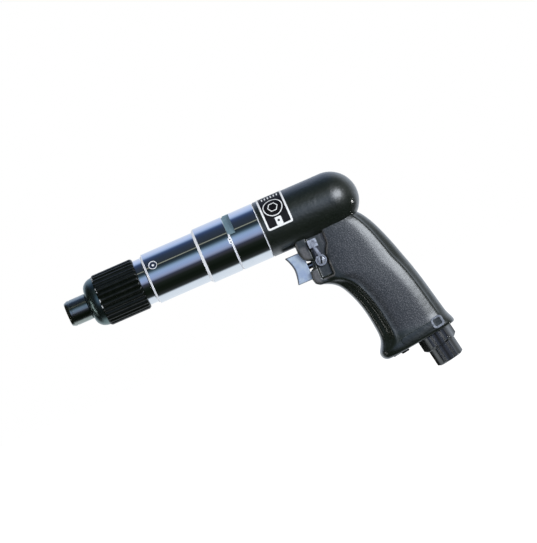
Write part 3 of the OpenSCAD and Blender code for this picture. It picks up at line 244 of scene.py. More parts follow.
# The casting: barrel with a round back, trigger mouth and pistol grip in one piece of aluminium.
# It is cast, bored and painted black. The barrel is smooth, and each side of the grip has a grained panel
# between a smooth front edge and a smooth spine.
class Finish(Shader):
    """A material whose patterns follow the object's own coordinates, in millimetres."""

    def __init__(self, name):
        self.material = bpy.data.materials.new(name)
        super().__init__(self.material)
        self.place = self.node("VectorMath", {"operation": "SCALE"},
                               {0: self.node("TexCoord", output="Object"), "Scale": 1 / mm})
        self.x, self.y, self.z = (self.node("SeparateXYZ", {}, {0: self.place}).out(a) for a in "XYZ")

    def noise(self, grain, detail=3, stretch=(1, 1, 1)):
        spread = self.node("VectorMath", {"operation": "MULTIPLY"}, {0: self.place, 1: stretch})
        return self.node("TexNoise", {}, {"Vector": spread, "Scale": 1 / grain, "Detail": detail})

    def pebbles(self, grain):
        return self.node("TexVoronoi", {}, {"Vector": self.place, "Scale": 1 / grain, "Randomness": 1.0})

    def steps(self, value, low, high):
        return self.node("MapRange", {"interpolation_type": "SMOOTHSTEP"}, {0: value, 1: low, 2: high})

    def surface(self, colour, roughness, height=None, depth=0.05, **constants):
        sockets = {"Base Color": colour, "Roughness": roughness}
        if height is not None:
            relief = {"Height": height, "Distance": depth * mm, "Strength": 1.0}
            sockets["Normal"] = self.node("Bump", {}, relief)
        sockets.update({name.replace("_", " "): value for name, value in constants.items()})
        body = self.node("BsdfPrincipled", {}, sockets)
        self.node("OutputMaterial", {}, {0: body})
        return self.material


def placed(bm, name, body, materials, flat_above=40, smooth=True):
    """Makes the bmesh, drawn in millimetres, into a piece of the object."""
    bmesh.ops.scale(bm, vec=(mm, mm, mm), verts=bm.verts)
    mesh = bpy.data.meshes.new(name)
    bm.to_mesh(mesh)
    bm.free()
    piece = bpy.data.objects.new(name, mesh)
    scene.collection.objects.link(piece)
    for material in materials:
        mesh.materials.append(material)
    if smooth:
        mesh.polygons.foreach_set("use_smooth", [True] * len(mesh.polygons))
        mesh.set_sharp_from_angle(angle=math.radians(flat_above))
    if body:
        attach(piece, body)
    return piece


def settled(piece):
    """Gives the piece the mesh that its modifiers make."""
    graph = bpy.context.evaluated_depsgraph_get()
    made = bpy.data.meshes.new_from_object(piece.evaluated_get(graph))
    old = piece.data
    piece.modifiers.clear()
    piece.data = made
    made.name = piece.name
    bpy.data.meshes.remove(old)


def joined(piece, tool, operation):
    """Adds a tool shape to the piece or cuts it away."""
    step = piece.modifiers.new("joined", "BOOLEAN")
    step.object, step.operation, step.solver = tool, operation, "EXACT"
    settled(piece)
    bpy.data.meshes.remove(tool.data)


def spun(bm, profile, segments, closed=True):
    """Spins a profile of (x, radius) points round the spindle axis."""
    points = [bm.verts.new((x, 0, r)) for x, r in profile]
    edges = [bm.edges.new(pair) for pair in zip(points, points[1:] + points[:1] * closed)]
    bmesh.ops.spin(bm, geom=points + edges, cent=(0, 0, 0), axis=(1, 0, 0), dvec=(0, 0, 0), angle=math.tau,
                   steps=segments, use_merge=True)
    bmesh.ops.remove_doubles(bm, verts=bm.verts, dist=0.001)
    bmesh.ops.recalc_face_normals(bm, faces=bm.faces)


def rounded_edges(bm, width, steps=2, angle=30):
    """Bevels every edge that is sharper than the angle."""
    sharp = [e for e in bm.edges if len(e.link_faces) == 2 and e.calc_face_angle() > math.radians(angle)]
    bmesh.ops.bevel(bm, geom=sharp, offset=width, segments=steps, profile=0.5, affect="EDGES", material=-1,
                    clamp_overlap=True)


def points_of(grown):
    """The points among what an extrusion made."""
    return [part for part in grown if isinstance(part, bmesh.types.BMVert)]


def plate(bm, outline, low, high):
    """Draws an outline of (x, z) points and extrudes it across the tool from low to high."""
    face = bm.faces.new([bm.verts.new((x, low, z)) for x, z in outline])
    grown = bmesh.ops.extrude_face_region(bm, geom=[face])["geom"]
    bmesh.ops.translate(bm, vec=(0, high - low, 0), verts=points_of(grown))
    bmesh.ops.recalc_face_normals(bm, faces=bm.faces)


def next_ring(bm, rim):
    """Extrudes the open rim; returns the new points and the new rim."""
    grown = bmesh.ops.extrude_edge_only(bm, edges=rim)["geom"]
    fresh = points_of(grown)
    known = set(fresh)
    edges = [part for part in grown if isinstance(part, bmesh.types.BMEdge)]
    return fresh, [edge for edge in edges if known.issuperset(edge.verts)]


def rotated(bm, angle, axis, points=None):
    """Turns the points, or all that is drawn, about an axis through the origin."""
    bmesh.ops.rotate(bm, matrix=Matrix.Rotation(angle, 3, axis), verts=points or bm.verts)


def shifted(bm, step, points=None):
    """Moves the points, or all that is drawn."""
    bmesh.ops.translate(bm, vec=step, verts=points or bm.verts)


def block(bm, size, middle=(0, 0, 0)):
    """A rectangular block; returns its points."""
    points = bmesh.ops.create_cube(bm, size=1)["verts"]
    bmesh.ops.scale(bm, vec=size, verts=points)
    shifted(bm, middle, points)
    return points


def round_bar(bm, radius, low, high, segments=64):
    """A round bar along Z, from low to high."""
    bmesh.ops.create_cone(bm, cap_ends=True, segments=segments, radius1=radius, radius2=radius,
                          depth=high - low)
    shifted(bm, (0, 0, (low + high) / 2))


def cutter(bm, name, finish=0):
    """Makes a tool shape whose cut faces get one of the piece's finishes."""
    for face in bm.faces:
        face.material_index = finish
    return placed(bm, name, None, [], smooth=False)


barrel_front, dome_centre, barrel_radius = 148.8, 200, 20.4
motor_bore, motor_end = 17.25, 206.1
head_x, reach, drop, grip_width = 164.5, 82, 118.3, 31
# Stations down the grip: its front and its rear point, in shares of the reach and the drop, then the share
# of the width and the form, where 0 is the head, 1 the handle with its front ridge and 2 the foot
grip_stations = [
    ((0.09, 0.085), (0.54, 0.050), 0.80, 0.0), ((0.09, 0.190), (0.675, 0.178), 0.86, 0.0),
    ((0.08, 0.287), (0.735, 0.279), 0.91, 0.0), ((0.055, 0.380), (0.786, 0.380), 0.94, 0.1),
    ((0.048, 0.428), (0.811, 0.440), 0.96, 0.3), ((0.140, 0.447), (0.829, 0.482), 0.97, 0.6),
    ((0.207, 0.478), (0.848, 0.524), 0.98, 0.9), ((0.250, 0.524), (0.867, 0.571), 0.99, 1.0),
    ((0.291, 0.592), (0.889, 0.630), 1.0, 1.0), ((0.322, 0.660), (0.909, 0.693), 1.0, 1.0),
    ((0.341, 0.735), (0.929, 0.757), 1.0, 1.0), ((0.354, 0.811), (0.948, 0.816), 1.0, 1.0),
    ((0.357, 0.858), (0.959, 0.854), 1.0, 1.1), ((0.345, 0.892), (0.970, 0.880), 1.02, 1.4),
    ((0.311, 0.930), (0.991, 0.912), 1.07, 1.9), ((0.296, 0.951), (1.0, 0.930), 1.09, 2.0),
    ((0.306, 0.978), (0.998, 0.940), 1.07, 2.0), ((0.330, 0.995), (0.985, 0.946), 1.02, 2.0),
    ((0.370, 1.0), (0.960, 0.948), 0.90, 2.0),
]
# The three forms, from the front point to the rear one, in shares of the depth and of half the width
grip_sections = [
    [(0, 0), (0, 0.42), (0.004, 0.62), (0.012, 0.69), (0.04, 0.71), (0.09, 0.74), (0.14, 0.78), (0.2, 0.84),
     (0.28, 0.91), (0.37, 0.96), (0.47, 0.99), (0.57, 1), (0.68, 0.995), (0.75, 0.975), (0.81, 0.925),
     (0.882, 0.85), (0.891, 0.75), (0.907, 0.67), (0.936, 0.565), (0.964, 0.44), (0.988, 0.25), (1, 0)],
    [(0, 0), (0.004, 0.22), (0.02, 0.42), (0.05, 0.54), (0.085, 0.58), (0.125, 0.61), (0.156, 0.77),
     (0.186, 0.955), (0.220, 0.875), (0.305, 0.97), (0.45, 1), (0.56, 1), (0.68, 0.99), (0.745, 0.965),
     (0.80, 0.915), (0.876, 0.835), (0.886, 0.745), (0.905, 0.665), (0.935, 0.56), (0.964, 0.43),
     (0.988, 0.24), (1, 0)],
    [(0, 0), (0.004, 0.3), (0.016, 0.52), (0.04, 0.7), (0.075, 0.82), (0.12, 0.9), (0.17, 0.95),
     (0.22, 0.98), (0.28, 1), (0.36, 1), (0.45, 1), (0.55, 1), (0.65, 1), (0.73, 0.99), (0.80, 0.96),
     (0.85, 0.92), (0.89, 0.86), (0.925, 0.77), (0.96, 0.62), (0.984, 0.43), (0.996, 0.22), (1, 0)],
]
ring_points = 2 * (len(grip_sections[0]) - 1)


def grip_point(number, station):
    """The place of one of a ring's points, which run from the front point down the far side and back."""
    front, rear, width, form = station
    half = ring_points // 2
    side, k = (1, number) if number <= half else (-1, ring_points - number)
    low = min(int(form), 1)
    first, second, share = grip_sections[low][k], grip_sections[low + 1][k], form - low
    along, across = (a + (b - a) * share for a, b in zip(first, second))
    x, z = (a + (b - a) * along for a, b in zip(front, rear))
    return Vector((head_x + x * reach, side * across * width * grip_width / 2, -z * drop))


paint = Finish("black_paint")
panel = paint.node("Attribute", {"attribute_name": "grain"}, output="Fac")
wear_and_glint_mask = paint.node("Attribute", {"attribute_name": "rubbed"}, output="Fac")
leather = paint.pebbles(1.1).clamped()
wrinkle = paint.noise(0.8, 4)
cloud = paint.noise(14, 3)
orange_peel = paint.noise(1.7, 3)
uneven = paint.noise(6, 2)
crest = ((1 - leather) * 1.3 + wrinkle * 1.2 - 1.05).clamped()
smooth_colour = paint.mix(cloud, (0.0035, 0.0068, 0.0030), (0.0065, 0.0110, 0.0062))
# Bare metal where the paint is worn, and the same light colour as a painted highlight on the cheeks' -y
# faces and edges
bare_and_highlight_colour = paint.mix(wrinkle, (0.030, 0.028, 0.026), (0.11, 0.105, 0.10))
grain_colour = paint.mix(crest, (0.012, 0.014, 0.014), (0.052, 0.052, 0.058))
black_paint = paint.surface(
    paint.mix(wear_and_glint_mask, paint.mix(panel, smooth_colour, grain_colour), bare_and_highlight_colour),
    0.34 + orange_peel * 0.14 + panel * 0.08,
    panel * crest * 0.9 + orange_peel * (0.95 - panel * 0.6) + uneven * 2.4, 0.13,
    Specular_IOR_Level=0.85, Coat_Weight=0.8, Coat_Roughness=0.25)

front_break = 0.35
dome_angles = [math.radians(a) for a in range(0, 91, 5)]
dome = [(dome_centre + barrel_radius * math.sin(a), barrel_radius * math.cos(a)) for a in dome_angles]
barrel_bm = bmesh.new()
spun(barrel_bm, [
    (barrel_front, motor_bore), (barrel_front, barrel_radius - front_break),
    (barrel_front + front_break, barrel_radius), *dome, (motor_end, 0), (motor_end, motor_bore)], 144)
barrel = placed(barrel_bm, "barrel", "housing", [black_paint])

grip_bm = bmesh.new()
number_layer = grip_bm.verts.layers.int.new("number")
ring = bmesh.ops.create_circle(grip_bm, segments=ring_points, radius=1)["verts"]
for n, point in enumerate(sorted(ring, key=lambda v: math.atan2(v.co.y, v.co.x))):
    point[number_layer] = n
rim = list(grip_bm.edges)
for i, station in enumerate(grip_stations):
    if i:
        ring, rim = next_ring(grip_bm, rim)
    for point in ring:
        point.co = grip_point(point[number_layer], station)
bmesh.ops.holes_fill(grip_bm, edges=[e for e in grip_bm.edges if e.is_boundary], sides=0)
bmesh.ops.recalc_face_normals(grip_bm, faces=grip_bm.faces)
casting = placed(grip_bm, "casting", "housing", [])
soft = casting.modifiers.new("soft", "SUBSURF")
soft.levels = soft.render_levels = 2
settled(casting)

# The two cheeks of the trigger mouth, in shares of the mouth's depth and of the grip's drop
mouth_depth, mouth_width, mouth_break = 8.6, 21.6, 1.6
cheek_outline = [(0.1, 0.1), (0, 0.165), (0, 0.22), (0.17, 0.258), (0.47, 0.276), (1, 0.288),
                 (1.25, 0.31), (1, 0.328), (0.55, 0.331), (0.3, 0.344), (0.24, 0.39), (0.35, 0.418),
                 (0.65, 0.434), (2, 0.45), (3, 0.1)]


def from_the_head(outline):
    """Turns shares of the mouth's depth and of the grip's drop into places."""
    return [(head_x + x * mouth_depth, -z * drop) for x, z in outline]


mouth_bm = bmesh.new()
plate(mouth_bm, from_the_head(cheek_outline), -mouth_width / 2, mouth_width / 2)
rounded_edges(mouth_bm, mouth_break, 3, 60)
joined(casting, cutter(mouth_bm, "mouth_tool"), "UNION")

# Cut away, one after another: the motor's bore, the trigger's slot, the throttle's bore, the lever's pocket
# with the reverse valve's hole, the inlet's seats and the exhaust's pocket
overrun = 2
inside_wall, bore_start = (motor_bore + barrel_radius) / 2, barrel_front - overrun
bore_bm = bmesh.new()
spun(bore_bm, [(bore_start, 0), (bore_start, inside_wall), (dome_centre, inside_wall), (dome_centre, 0)],
     96, closed=False)
joined(casting, cutter(bore_bm, "bore_tool"), "DIFFERENCE")

trigger_z, slot_back, slot_size, slot_break = -35.135, 173.1, (14, 13.8, 21.6), 1.2
slot_bm = bmesh.new()
block(slot_bm, slot_size, (slot_back - slot_size[0] / 2, 0, trigger_z))
rounded_edges(slot_bm, slot_break, 3)
joined(casting, cutter(slot_bm, "slot_tool"), "DIFFERENCE")

throttle_z, throttle_bore, throttle_start, throttle_end = -36.035, 4.6, slot_back - overrun, 204.5
throat_bm = bmesh.new()
spun(throat_bm, [(throttle_start, 0), (throttle_start, throttle_bore), (throttle_end, throttle_bore),
                 (throttle_end, 0)], 48, closed=False)
shifted(throat_bm, (0, 0, throttle_z))
joined(casting, cutter(throat_bm, "throat_tool"), "DIFFERENCE")

pocket_floor, beside_the_grip, pocket_break = -9.2, -24, 0.5
pocket_outline = [(0.99, 0.142), (2.5, 0.142), (2.5, 0.22), (2.25, 0.245), (2.05, 0.28), (2.03, 0.405),
                  (0.99, 0.405)]
pocket_bm = bmesh.new()
plate(pocket_bm, from_the_head(pocket_outline), beside_the_grip, pocket_floor)
rounded_edges(pocket_bm, pocket_break, 2)
joined(casting, cutter(pocket_bm, "pocket_tool"), "DIFFERENCE")

pivot_x, pivot_z, valve_hole_radius, valve_hole_depth = 177.5, -35.535, 3.44, 3
hole_bm = bmesh.new()
round_bar(hole_bm, valve_hole_radius, -valve_hole_depth, overrun, 48)
rotated(hole_bm, math.pi / 2, "X")
shifted(hole_bm, (pivot_x, pocket_floor, pivot_z))
joined(casting, cutter(hole_bm, "hole_tool"), "DIFFERENCE")

inlet_tilt, inlet_place = math.radians(9.9), Vector((229.608, 0, -113.686))
inlet_seats = ((13.35, -0.02, 12), (9.02, -10, 2))
for radius, low, high in inlet_seats:
    seat_bm = bmesh.new()
    round_bar(seat_bm, radius, low, high)
    rotated(seat_bm, math.pi - inlet_tilt, "Y")
    shifted(seat_bm, inlet_place)
    joined(casting, cutter(seat_bm, "seat_tool"), "DIFFERENCE")

foot_angle, foot_middle, exhaust_pocket = math.radians(7.5), Vector((205.99, 0, -116.76)), (18, 22, 18)
exhaust_bm = bmesh.new()
block(exhaust_bm, exhaust_pocket)
rotated(exhaust_bm, -foot_angle, "Y")
shifted(exhaust_bm, foot_middle)
joined(casting, cutter(exhaust_bm, "exhaust_tool"), "DIFFERENCE")

skin = casting.modifiers.new("skin", "REMESH")
skin_step = 0.56 * mm
skin.mode, skin.voxel_size, skin.use_smooth_shade = "VOXEL", skin_step, True
settled(casting)
smoothing = casting.modifiers.new("smoothing", "SMOOTH")
smoothing.factor, smoothing.iterations = 0.5, 3
settled(casting)

# The grained panel's edges, in millimetres: the rear one by height, then the front one
rear_edge = [(-13, 207.5), (-24, 211), (-31, 213.5), (-38, 216.3), (-47, 219.5), (-55, 222), (-65, 224.4),
             (-74, 226), (-83, 228.2), (-92, 230), (-101, 231.5), (-112, 233)]
front_edge = [(-13, 180), (-24, 181), (-41, 181), (-50, 186), (-57, 191), (-65, 196.5), (-75, 199.5),
              (-85, 201.6), (-93, 203.2), (-103, 204.4), (-112, 204)]
panel_top, panel_foot, foot_slope, slope_from, panel_fade, panel_out = -14.5, -104, 0.13, 207, 2.6, 8


def edge_at(edge, z):
    """The x of an edge of the panel at a height."""
    for (z0, x0), (z1, x1) in zip(edge, edge[1:]):
        if z >= z1:
            return x0 + (x1 - x0) * (z - z0) / (z1 - z0)
    return edge[-1][1]


# Where the paint is gone, and where highlights are painted: chips along the edges of the lever's pocket and
# of the upper cheek, which are also painted highlights for those edges' glints, as lines of (x, z) points,
# and both cheeks' rubbed faces, lightened only where they face -y as a painted highlight, from rear to
# front and from low to high
chipped_and_glinting_edges = [[(165.6, -18.9), (165.7, -22.4)],
              [(186.4, -19.5), (186.2, -25.5), (184.4, -29.4), (182.7, -33)],
              [(182.6, -38), (182.5, -47.4), (181.6, -48.6), (174.5, -48.6)]]
rubbed_and_lit_cheeks = [(165, 172.4, -33, -21.5), (164, 173.0, -51, -38.5)]
chip_and_glint_width, worn_and_lit_side = 0.55, -9


def within(share):
    """The share, kept between 0 and 1."""
    return max(0.0, min(1.0, share))


def beside(x, z, line):
    """The distance from a line of (x, z) points."""
    nearest = 99
    for (x0, z0), (x1, z1) in zip(line, line[1:]):
        run, rise = x1 - x0, z1 - z0
        along = within(((x - x0) * run + (z - z0) * rise) / (run ** 2 + rise ** 2))
        nearest = min(nearest, math.hypot(x - x0 - along * run, z - z0 - along * rise))
    return nearest


def rubbed(point, normal):
    """How far handling has worn the paint off the cheeks beside the trigger, with a painted highlight on
    their -y faces and along edges, from 0 to 1.
    """
    x, y, z = point / mm
    inside = max(min(x - x0, x1 - x, z - z0, z1 - z) for x0, x1, z0, z1 in rubbed_and_lit_cheeks)
    faces = within(inside / 2) * max(0.0, -normal.y * 1.5 - 0.5)
    chips_and_glints = 1.5 - min(beside(x, z, line) for line in chipped_and_glinting_edges) / chip_and_glint_width
    return within(max(faces, chips_and_glints)) * (y < worn_and_lit_side)


def grained(point, normal):
    """How much of the leather grain a point of the casting has, from 0 to 1."""
    x, y, z = point / mm
    above_foot = z - panel_foot + foot_slope * (x - slope_from)
    inside = min(edge_at(rear_edge, z) - x, x - edge_at(front_edge, z), panel_top - z, above_foot)
    return within(inside / panel_fade) * within((abs(normal.y) - 0.2) * 4) * (abs(y) > panel_out)


grain = casting.data.attributes.new("grain", "FLOAT", "POINT")
grain.data.foreach_set("value", [grained(v.co, v.normal) for v in casting.data.vertices])
wear_and_glint_layer = casting.data.attributes.new("rubbed", "FLOAT", "POINT")
wear_and_glint_layer.data.foreach_set("value", [rubbed(v.co, v.normal) for v in casting.data.vertices])

casting.data.materials.append(black_paint)
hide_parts("motor_housing")


def rounded_loop(bm, width, height, corner, centre=(0, 0), points=32, filled=False):
    """A flat closed loop with rounded corners; returns its edges."""
    made = bmesh.ops.create_circle(bm, cap_ends=filled, segments=points, radius=corner,
                                   matrix=Matrix.Rotation(math.pi / points, 4, "Z"))["verts"]
    for v in made:
        v.co.x += centre[0] + math.copysign(width / 2 - corner, v.co.x)
        v.co.y += centre[1] + math.copysign(height / 2 - corner, v.co.y)
    return list({e for v in made for e in v.link_edges})


# The raised bar over the foot, on both sides, cast with the grip. The badge at its end has a painted face
# inside a rim that is rubbed bare.
bar_middle, bar_length, bar_height, bar_corner = Vector((221.5, 0, -108.66)), 31, 5.8, 2.8
bar_out, bar_depth, bar_break = 17.3, 2.6, 0.3
badge_length, badge_height, badge_corner, badge_out = 8.6, 8.2, 2.6, bar_out + 0.35
badge_place, badge_rim, badge_sink = bar_length / 2 - badge_corner, 1.5, 0.25
badge_paint = Finish("badge_paint")
scuff = badge_paint.noise(1.6, 4)
badge_tone = badge_paint.mix((scuff * 2.4 - 0.7).clamped(), (0.10, 0.115, 0.14), (0.34, 0.36, 0.40))
badge_grey = badge_paint.surface(badge_tone, 0.30 + scuff * 0.2, scuff, 0.05, Metallic=0.3)
for name, length, height, corner, place, out, finish in (
        ("foot_bar", bar_length, bar_height, bar_corner, 0, bar_out, black_paint),
        ("foot_badge", badge_length, badge_height, badge_corner, badge_place, badge_out, badge_grey)):
    bar_bm = bmesh.new()
    for side in (-1, 1):
        edges = rounded_loop(bar_bm, length, height, corner, (place, 0), filled=True)
        face = edges[0].link_faces[0]
        foot = list(face.verts)
        rotated(bar_bm, math.pi / 2, "X", foot)
        shifted(bar_bm, (0, side * (out - bar_depth), 0), foot)
        grown = bmesh.ops.extrude_face_region(bar_bm, geom=[face])["geom"]
        shifted(bar_bm, (0, side * bar_depth, 0), points_of(grown))
        top_face = [part for part in grown if isinstance(part, bmesh.types.BMFace)]
        if name == "foot_badge":
            bmesh.ops.inset_region(bar_bm, faces=top_face, thickness=badge_rim)
            shifted(bar_bm, (0, -side * badge_sink, 0), top_face[0].verts)
            top_face[0].material_index = 1
    bmesh.ops.recalc_face_normals(bar_bm, faces=bar_bm.faces)
    rounded_edges(bar_bm, bar_break, 3, 60)
    rotated(bar_bm, -foot_angle, "Y")
    shifted(bar_bm, bar_middle)
    placed(bar_bm, name, "housing", [finish, black_paint], 60)


# The plate on the barrel: thin aluminium with rounded corners, bent round the barrel and glued on.
# Its field is etched down and filled black, and the lines that stay at full height are bare metal.
plate_x, plate_length, plate_low, plate_high, plate_corner = 161.3, 19, -2.88, 30.9, 1.5
plate_height, plate_middle = plate_high - plate_low, (plate_low + plate_high) / 2
bend_radius, glue_top, field_top, line_foot, line_top = 20.6, 20.42, 20.62, 20.60, 20.71
line_width, border_corner = 1.35, 0.8
emblem, ring_outer, ring_inner, hexagon_outer, hexagon_inner = (161.1, 12.6), 7.1, 6.45, 3.9, 3.2
square_place, square_size, square_corner = (161.6, 1.4), (4.6, 5.85), 0.6
hole_place, hole_radius = (161.5, 1.7), 0.85
dash_count, dash_start, dash_pitch, dash_height = 6, 155.9, 2.25, 24.2
dash_size, dash_corner = (0.9, 3.6), 0.3


def wrapped(bm, name, low, high, finish):
    """Thickens what is drawn flat, x along the barrel and y round it, and bends it round the barrel."""
    for step in range(int(plate_low), int(plate_high) + 1):
        bmesh.ops.bisect_plane(bm, geom=bm.verts[:] + bm.edges[:] + bm.faces[:], plane_co=(0, step, 0),
                               plane_no=(0, 1, 0))
    shifted(bm, (0, 0, low))
    grown = bmesh.ops.extrude_face_region(bm, geom=bm.faces[:])["geom"]
    shifted(bm, (0, 0, high - low), points_of(grown))
    for v in bm.verts:
        turn = v.co.y / bend_radius
        v.co = (v.co.x, -v.co.z * math.cos(turn), v.co.z * math.sin(turn))
    bmesh.ops.recalc_face_normals(bm, faces=bm.faces)
    return placed(bm, name, "housing", [finish], 30)


def round_loop(bm, radius, place, points=48):
    """A flat circle, or a polygon with few points; returns its edges."""
    return rounded_loop(bm, 2 * radius, 2 * radius, radius, place, points)


def plain_finish(name, dark, light, roughness, spread, cloud, relief=None, **constants):
    """A finish whose tone, roughness and relief follow one cloud: its grain, detail and stretch."""
    made = Finish(name)
    tone = made.noise(*cloud)
    height = tone if relief else None
    return made.surface(made.mix(tone, dark, light), roughness + tone * spread, height, relief, **constants)


plate_black = plain_finish(
    "etched_black", (0.002, 0.002, 0.003), (0.007, 0.006, 0.008), 0.42, 0.1, (0.7, 3), 0.01,
    Specular_IOR_Level=0.25)
bare_aluminium = plain_finish(
    "bare_aluminium", (0.66, 0.66, 0.65), (0.92, 0.92, 0.90), 0.34, 0.15, (1.2, 4), 0.01, Metallic=0.1)
field_bm = bmesh.new()
rounded_loop(field_bm, plate_length, plate_height, plate_corner, (plate_x, plate_middle), filled=True)
plate_field = wrapped(field_bm, "plate_field", glue_top, field_top, plate_black)
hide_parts("label_plate")

# The raised lines: the border, a ring, a hexagon, a square with a hole in it, and a row of dashes
lines_bm = bmesh.new()
border_size = plate_length - 2 * line_width, plate_height - 2 * line_width
for outer, inner in (
        (rounded_loop(lines_bm, plate_length, plate_height, plate_corner, (plate_x, plate_middle)),
         rounded_loop(lines_bm, *border_size, border_corner, (plate_x, plate_middle))),
        (round_loop(lines_bm, ring_outer, emblem), round_loop(lines_bm, ring_inner, emblem)),
        (round_loop(lines_bm, hexagon_outer, emblem, 6), round_loop(lines_bm, hexagon_inner, emblem, 6)),
        (rounded_loop(lines_bm, *square_size, square_corner, square_place),
         round_loop(lines_bm, hole_radius, hole_place, 32))):
    bmesh.ops.bridge_loops(lines_bm, edges=outer + inner)
for dash in range(dash_count):
    place = (dash_start + dash_pitch * dash, dash_height)
    rounded_loop(lines_bm, *dash_size, dash_corner, place, 16, True)
wrapped(lines_bm, "plate_lines", line_foot, line_top, bare_aluminium)


# The clutch case and the gear case: two steel bodies screwed together, ground and plated to a mirror.
# Each step, the groove at the joint and the rear chamfer are painted near-white as a highlight, two wrench
# flats are milled at the joint, and a plug closes the oil hole.
steel = Finish("polished_steel")
smudge = steel.noise(9, 4)
lines = steel.noise(0.5, 2, (0.15, 6, 6))
specks = ((0.16 - steel.pebbles(2.2)) * 12).clamped() * (steel.noise(5, 1) * 3 - 1.5).clamped()
steel_tone = steel.mix(smudge, (0.84, 0.86, 0.90), (0.93, 0.94, 0.96))
gloss = 0.035 + smudge * 0.05 + specks * 0.3
polished_steel = steel.surface(steel_tone, gloss, lines, 0.0006, Metallic=1.0)
# A near-white finish painted on narrow steps, grooves and rims as their highlight, where the polished steel
# would mirror the room
edge_highlight_paint = plain_finish(
    "edge_highlight_paint", (0.80, 0.82, 0.86), (0.97, 0.98, 1.0), 0.30, 0.1, (2, 3), Metallic=0.1)
milled_flat = plain_finish(
    "milled_flat", (0.24, 0.36, 0.38), (0.34, 0.46, 0.48), 0.32, 0.1, (0.5, 3, (0.4, 3, 3)), 0.01,
    Metallic=0.5)


def marked(bm, finish, low, high, depth):
    """Gives the outer faces between two stations, down to a radius, one of the piece's other finishes."""
    for face in bm.faces:
        middle = face.calc_center_median()
        if low < middle.x < high and middle.yz.length > depth:
            face.material_index = finish


seam_x, key_pocket_size, key_floor, key_angle = 125, (2.64, 4.24, 4), 18.38, math.radians(90 - 5.7)
plug_x, plug_angle, plug_seat_radius, plug_seat_floor = 68.7, math.radians(27), 3.22, 16.6


def key_pocket():
    """The pocket that is milled across the seam for the key."""
    bm = bmesh.new()
    block(bm, key_pocket_size, (seam_x, 0, key_floor + key_pocket_size[2] / 2))
    rotated(bm, key_angle, "X")
    return cutter(bm, "key_pocket")


neck_start, neck_radius, neck_bore, stop_start, stop_radius = 34.5, 15.5, 12.56, 56.1, 16.5
snap_start, snap_end, snap_radius = 50.78, 52.02, 14.9
step_start, case_start, step_radius, case_radius = 61.5, 63, 17.1, 18.3
wide_start, wide_end, wide_radius, corner_break = 101.4, 103.3, 20.2, 0.3
spring_bore, clutch_bore, gear_bore = 15.1, 16, 17.32
spring_start, clutch_start, gear_start = 61.8, 91.4, 106.7
clutch_case_bm = bmesh.new()
spun(clutch_case_bm, [
    (neck_start, neck_bore), (neck_start, neck_radius), (snap_start, neck_radius),
    (snap_start, snap_radius), (snap_end, snap_radius), (snap_end, neck_radius),
    (stop_start, neck_radius), (stop_start, stop_radius),
    (step_start, stop_radius), (step_start + 0.6, step_radius), (case_start, step_radius),
    (case_start, case_radius - corner_break), (case_start + corner_break, case_radius),
    (wide_start, case_radius), (wide_end, wide_radius), (seam_x - corner_break, wide_radius),
    (seam_x, wide_radius - corner_break), (seam_x, gear_bore), (gear_start, gear_bore),
    (gear_start, clutch_bore), (clutch_start, clutch_bore), (clutch_start, spring_bore),
    (spring_start, spring_bore), (spring_start, neck_bore)], 144)
rounded_edges(clutch_case_bm, 0.12, 2)
# The step faces get the painted highlight
marked(clutch_case_bm, 1, spring_start + 0.1, case_start + 0.4, stop_radius - 0.1)
marked(clutch_case_bm, 1, wide_start + 0.1, wide_end + 0.1, case_radius - corner_break)
clutch_case = placed(clutch_case_bm, "clutch_case", "housing",
                     [polished_steel, edge_highlight_paint])
seat_bm = bmesh.new()
round_bar(seat_bm, plug_seat_radius, plug_seat_floor, wide_radius + overrun)
rotated(seat_bm, math.pi / 2 - plug_angle, "X")
shifted(seat_bm, (plug_x, 0, 0))
joined(clutch_case, cutter(seat_bm, "plug_seat"), "DIFFERENCE")
joined(clutch_case, key_pocket(), "DIFFERENCE")
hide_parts("clutch_housing")

spigot_start, spigot_radius, groove_radius, gear_radius, rear_break = 107, 17.3, 19.6, 20.3, 0.8
groove_end, lip_radius, lip_end = seam_x + 0.8, 19.9, seam_x + 1.2
tail_radius, tail_bore, tail_end, plate_seat = 17.18, 14.28, 156, 148.2
bearing_bore, bearing_seat, gear_ring_bore, gear_ring_start = 10.28, 145.4, 17.62, 131.4
gear_body_bm = bmesh.new()
spun(gear_body_bm, [
    (spigot_start, clutch_bore), (spigot_start, spigot_radius), (seam_x, spigot_radius),
    (seam_x, groove_radius), (groove_end, groove_radius), (groove_end, lip_radius), (lip_end, gear_radius),
    (barrel_front - rear_break, gear_radius), (barrel_front, gear_radius - rear_break),
    (barrel_front, tail_radius), (tail_end, tail_radius), (tail_end, tail_bore), (plate_seat, tail_bore),
    (plate_seat, bearing_bore), (bearing_seat, bearing_bore), (bearing_seat, gear_ring_bore),
    (gear_ring_start, gear_ring_bore), (gear_ring_start, clutch_bore)], 144)
# The groove at the joint and the rear chamfer get the painted highlight
marked(gear_body_bm, 1, seam_x + 0.1, lip_end - 0.05, groove_radius - 0.1)
marked(gear_body_bm, 1, barrel_front - rear_break, barrel_front, gear_radius - 0.9)
steel_finishes = [polished_steel, edge_highlight_paint, milled_flat]
gear_body = placed(gear_body_bm, "gear_body", "housing", steel_finishes)
flat_size, flat_radius, flat_turn = (5.5, 42, 20), 17.1, math.radians(40)
flat_bm = bmesh.new()
for turn in (flat_turn, flat_turn + math.pi):
    corners = block(flat_bm, flat_size, (seam_x + flat_size[0] / 2, 0, flat_radius + flat_size[2] / 2))
    rotated(flat_bm, turn, "X", corners)
joined(gear_body, cutter(flat_bm, "flat_tool", 2), "DIFFERENCE")
joined(gear_body, key_pocket(), "DIFFERENCE")
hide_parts("gear_case")


def ground(piece):
    """Keeps the wide faces true beside their small bevels."""
    step = piece.modifiers.new("ground", "WEIGHTED_NORMAL")
    step.weight, step.keep_sharp = 60, True


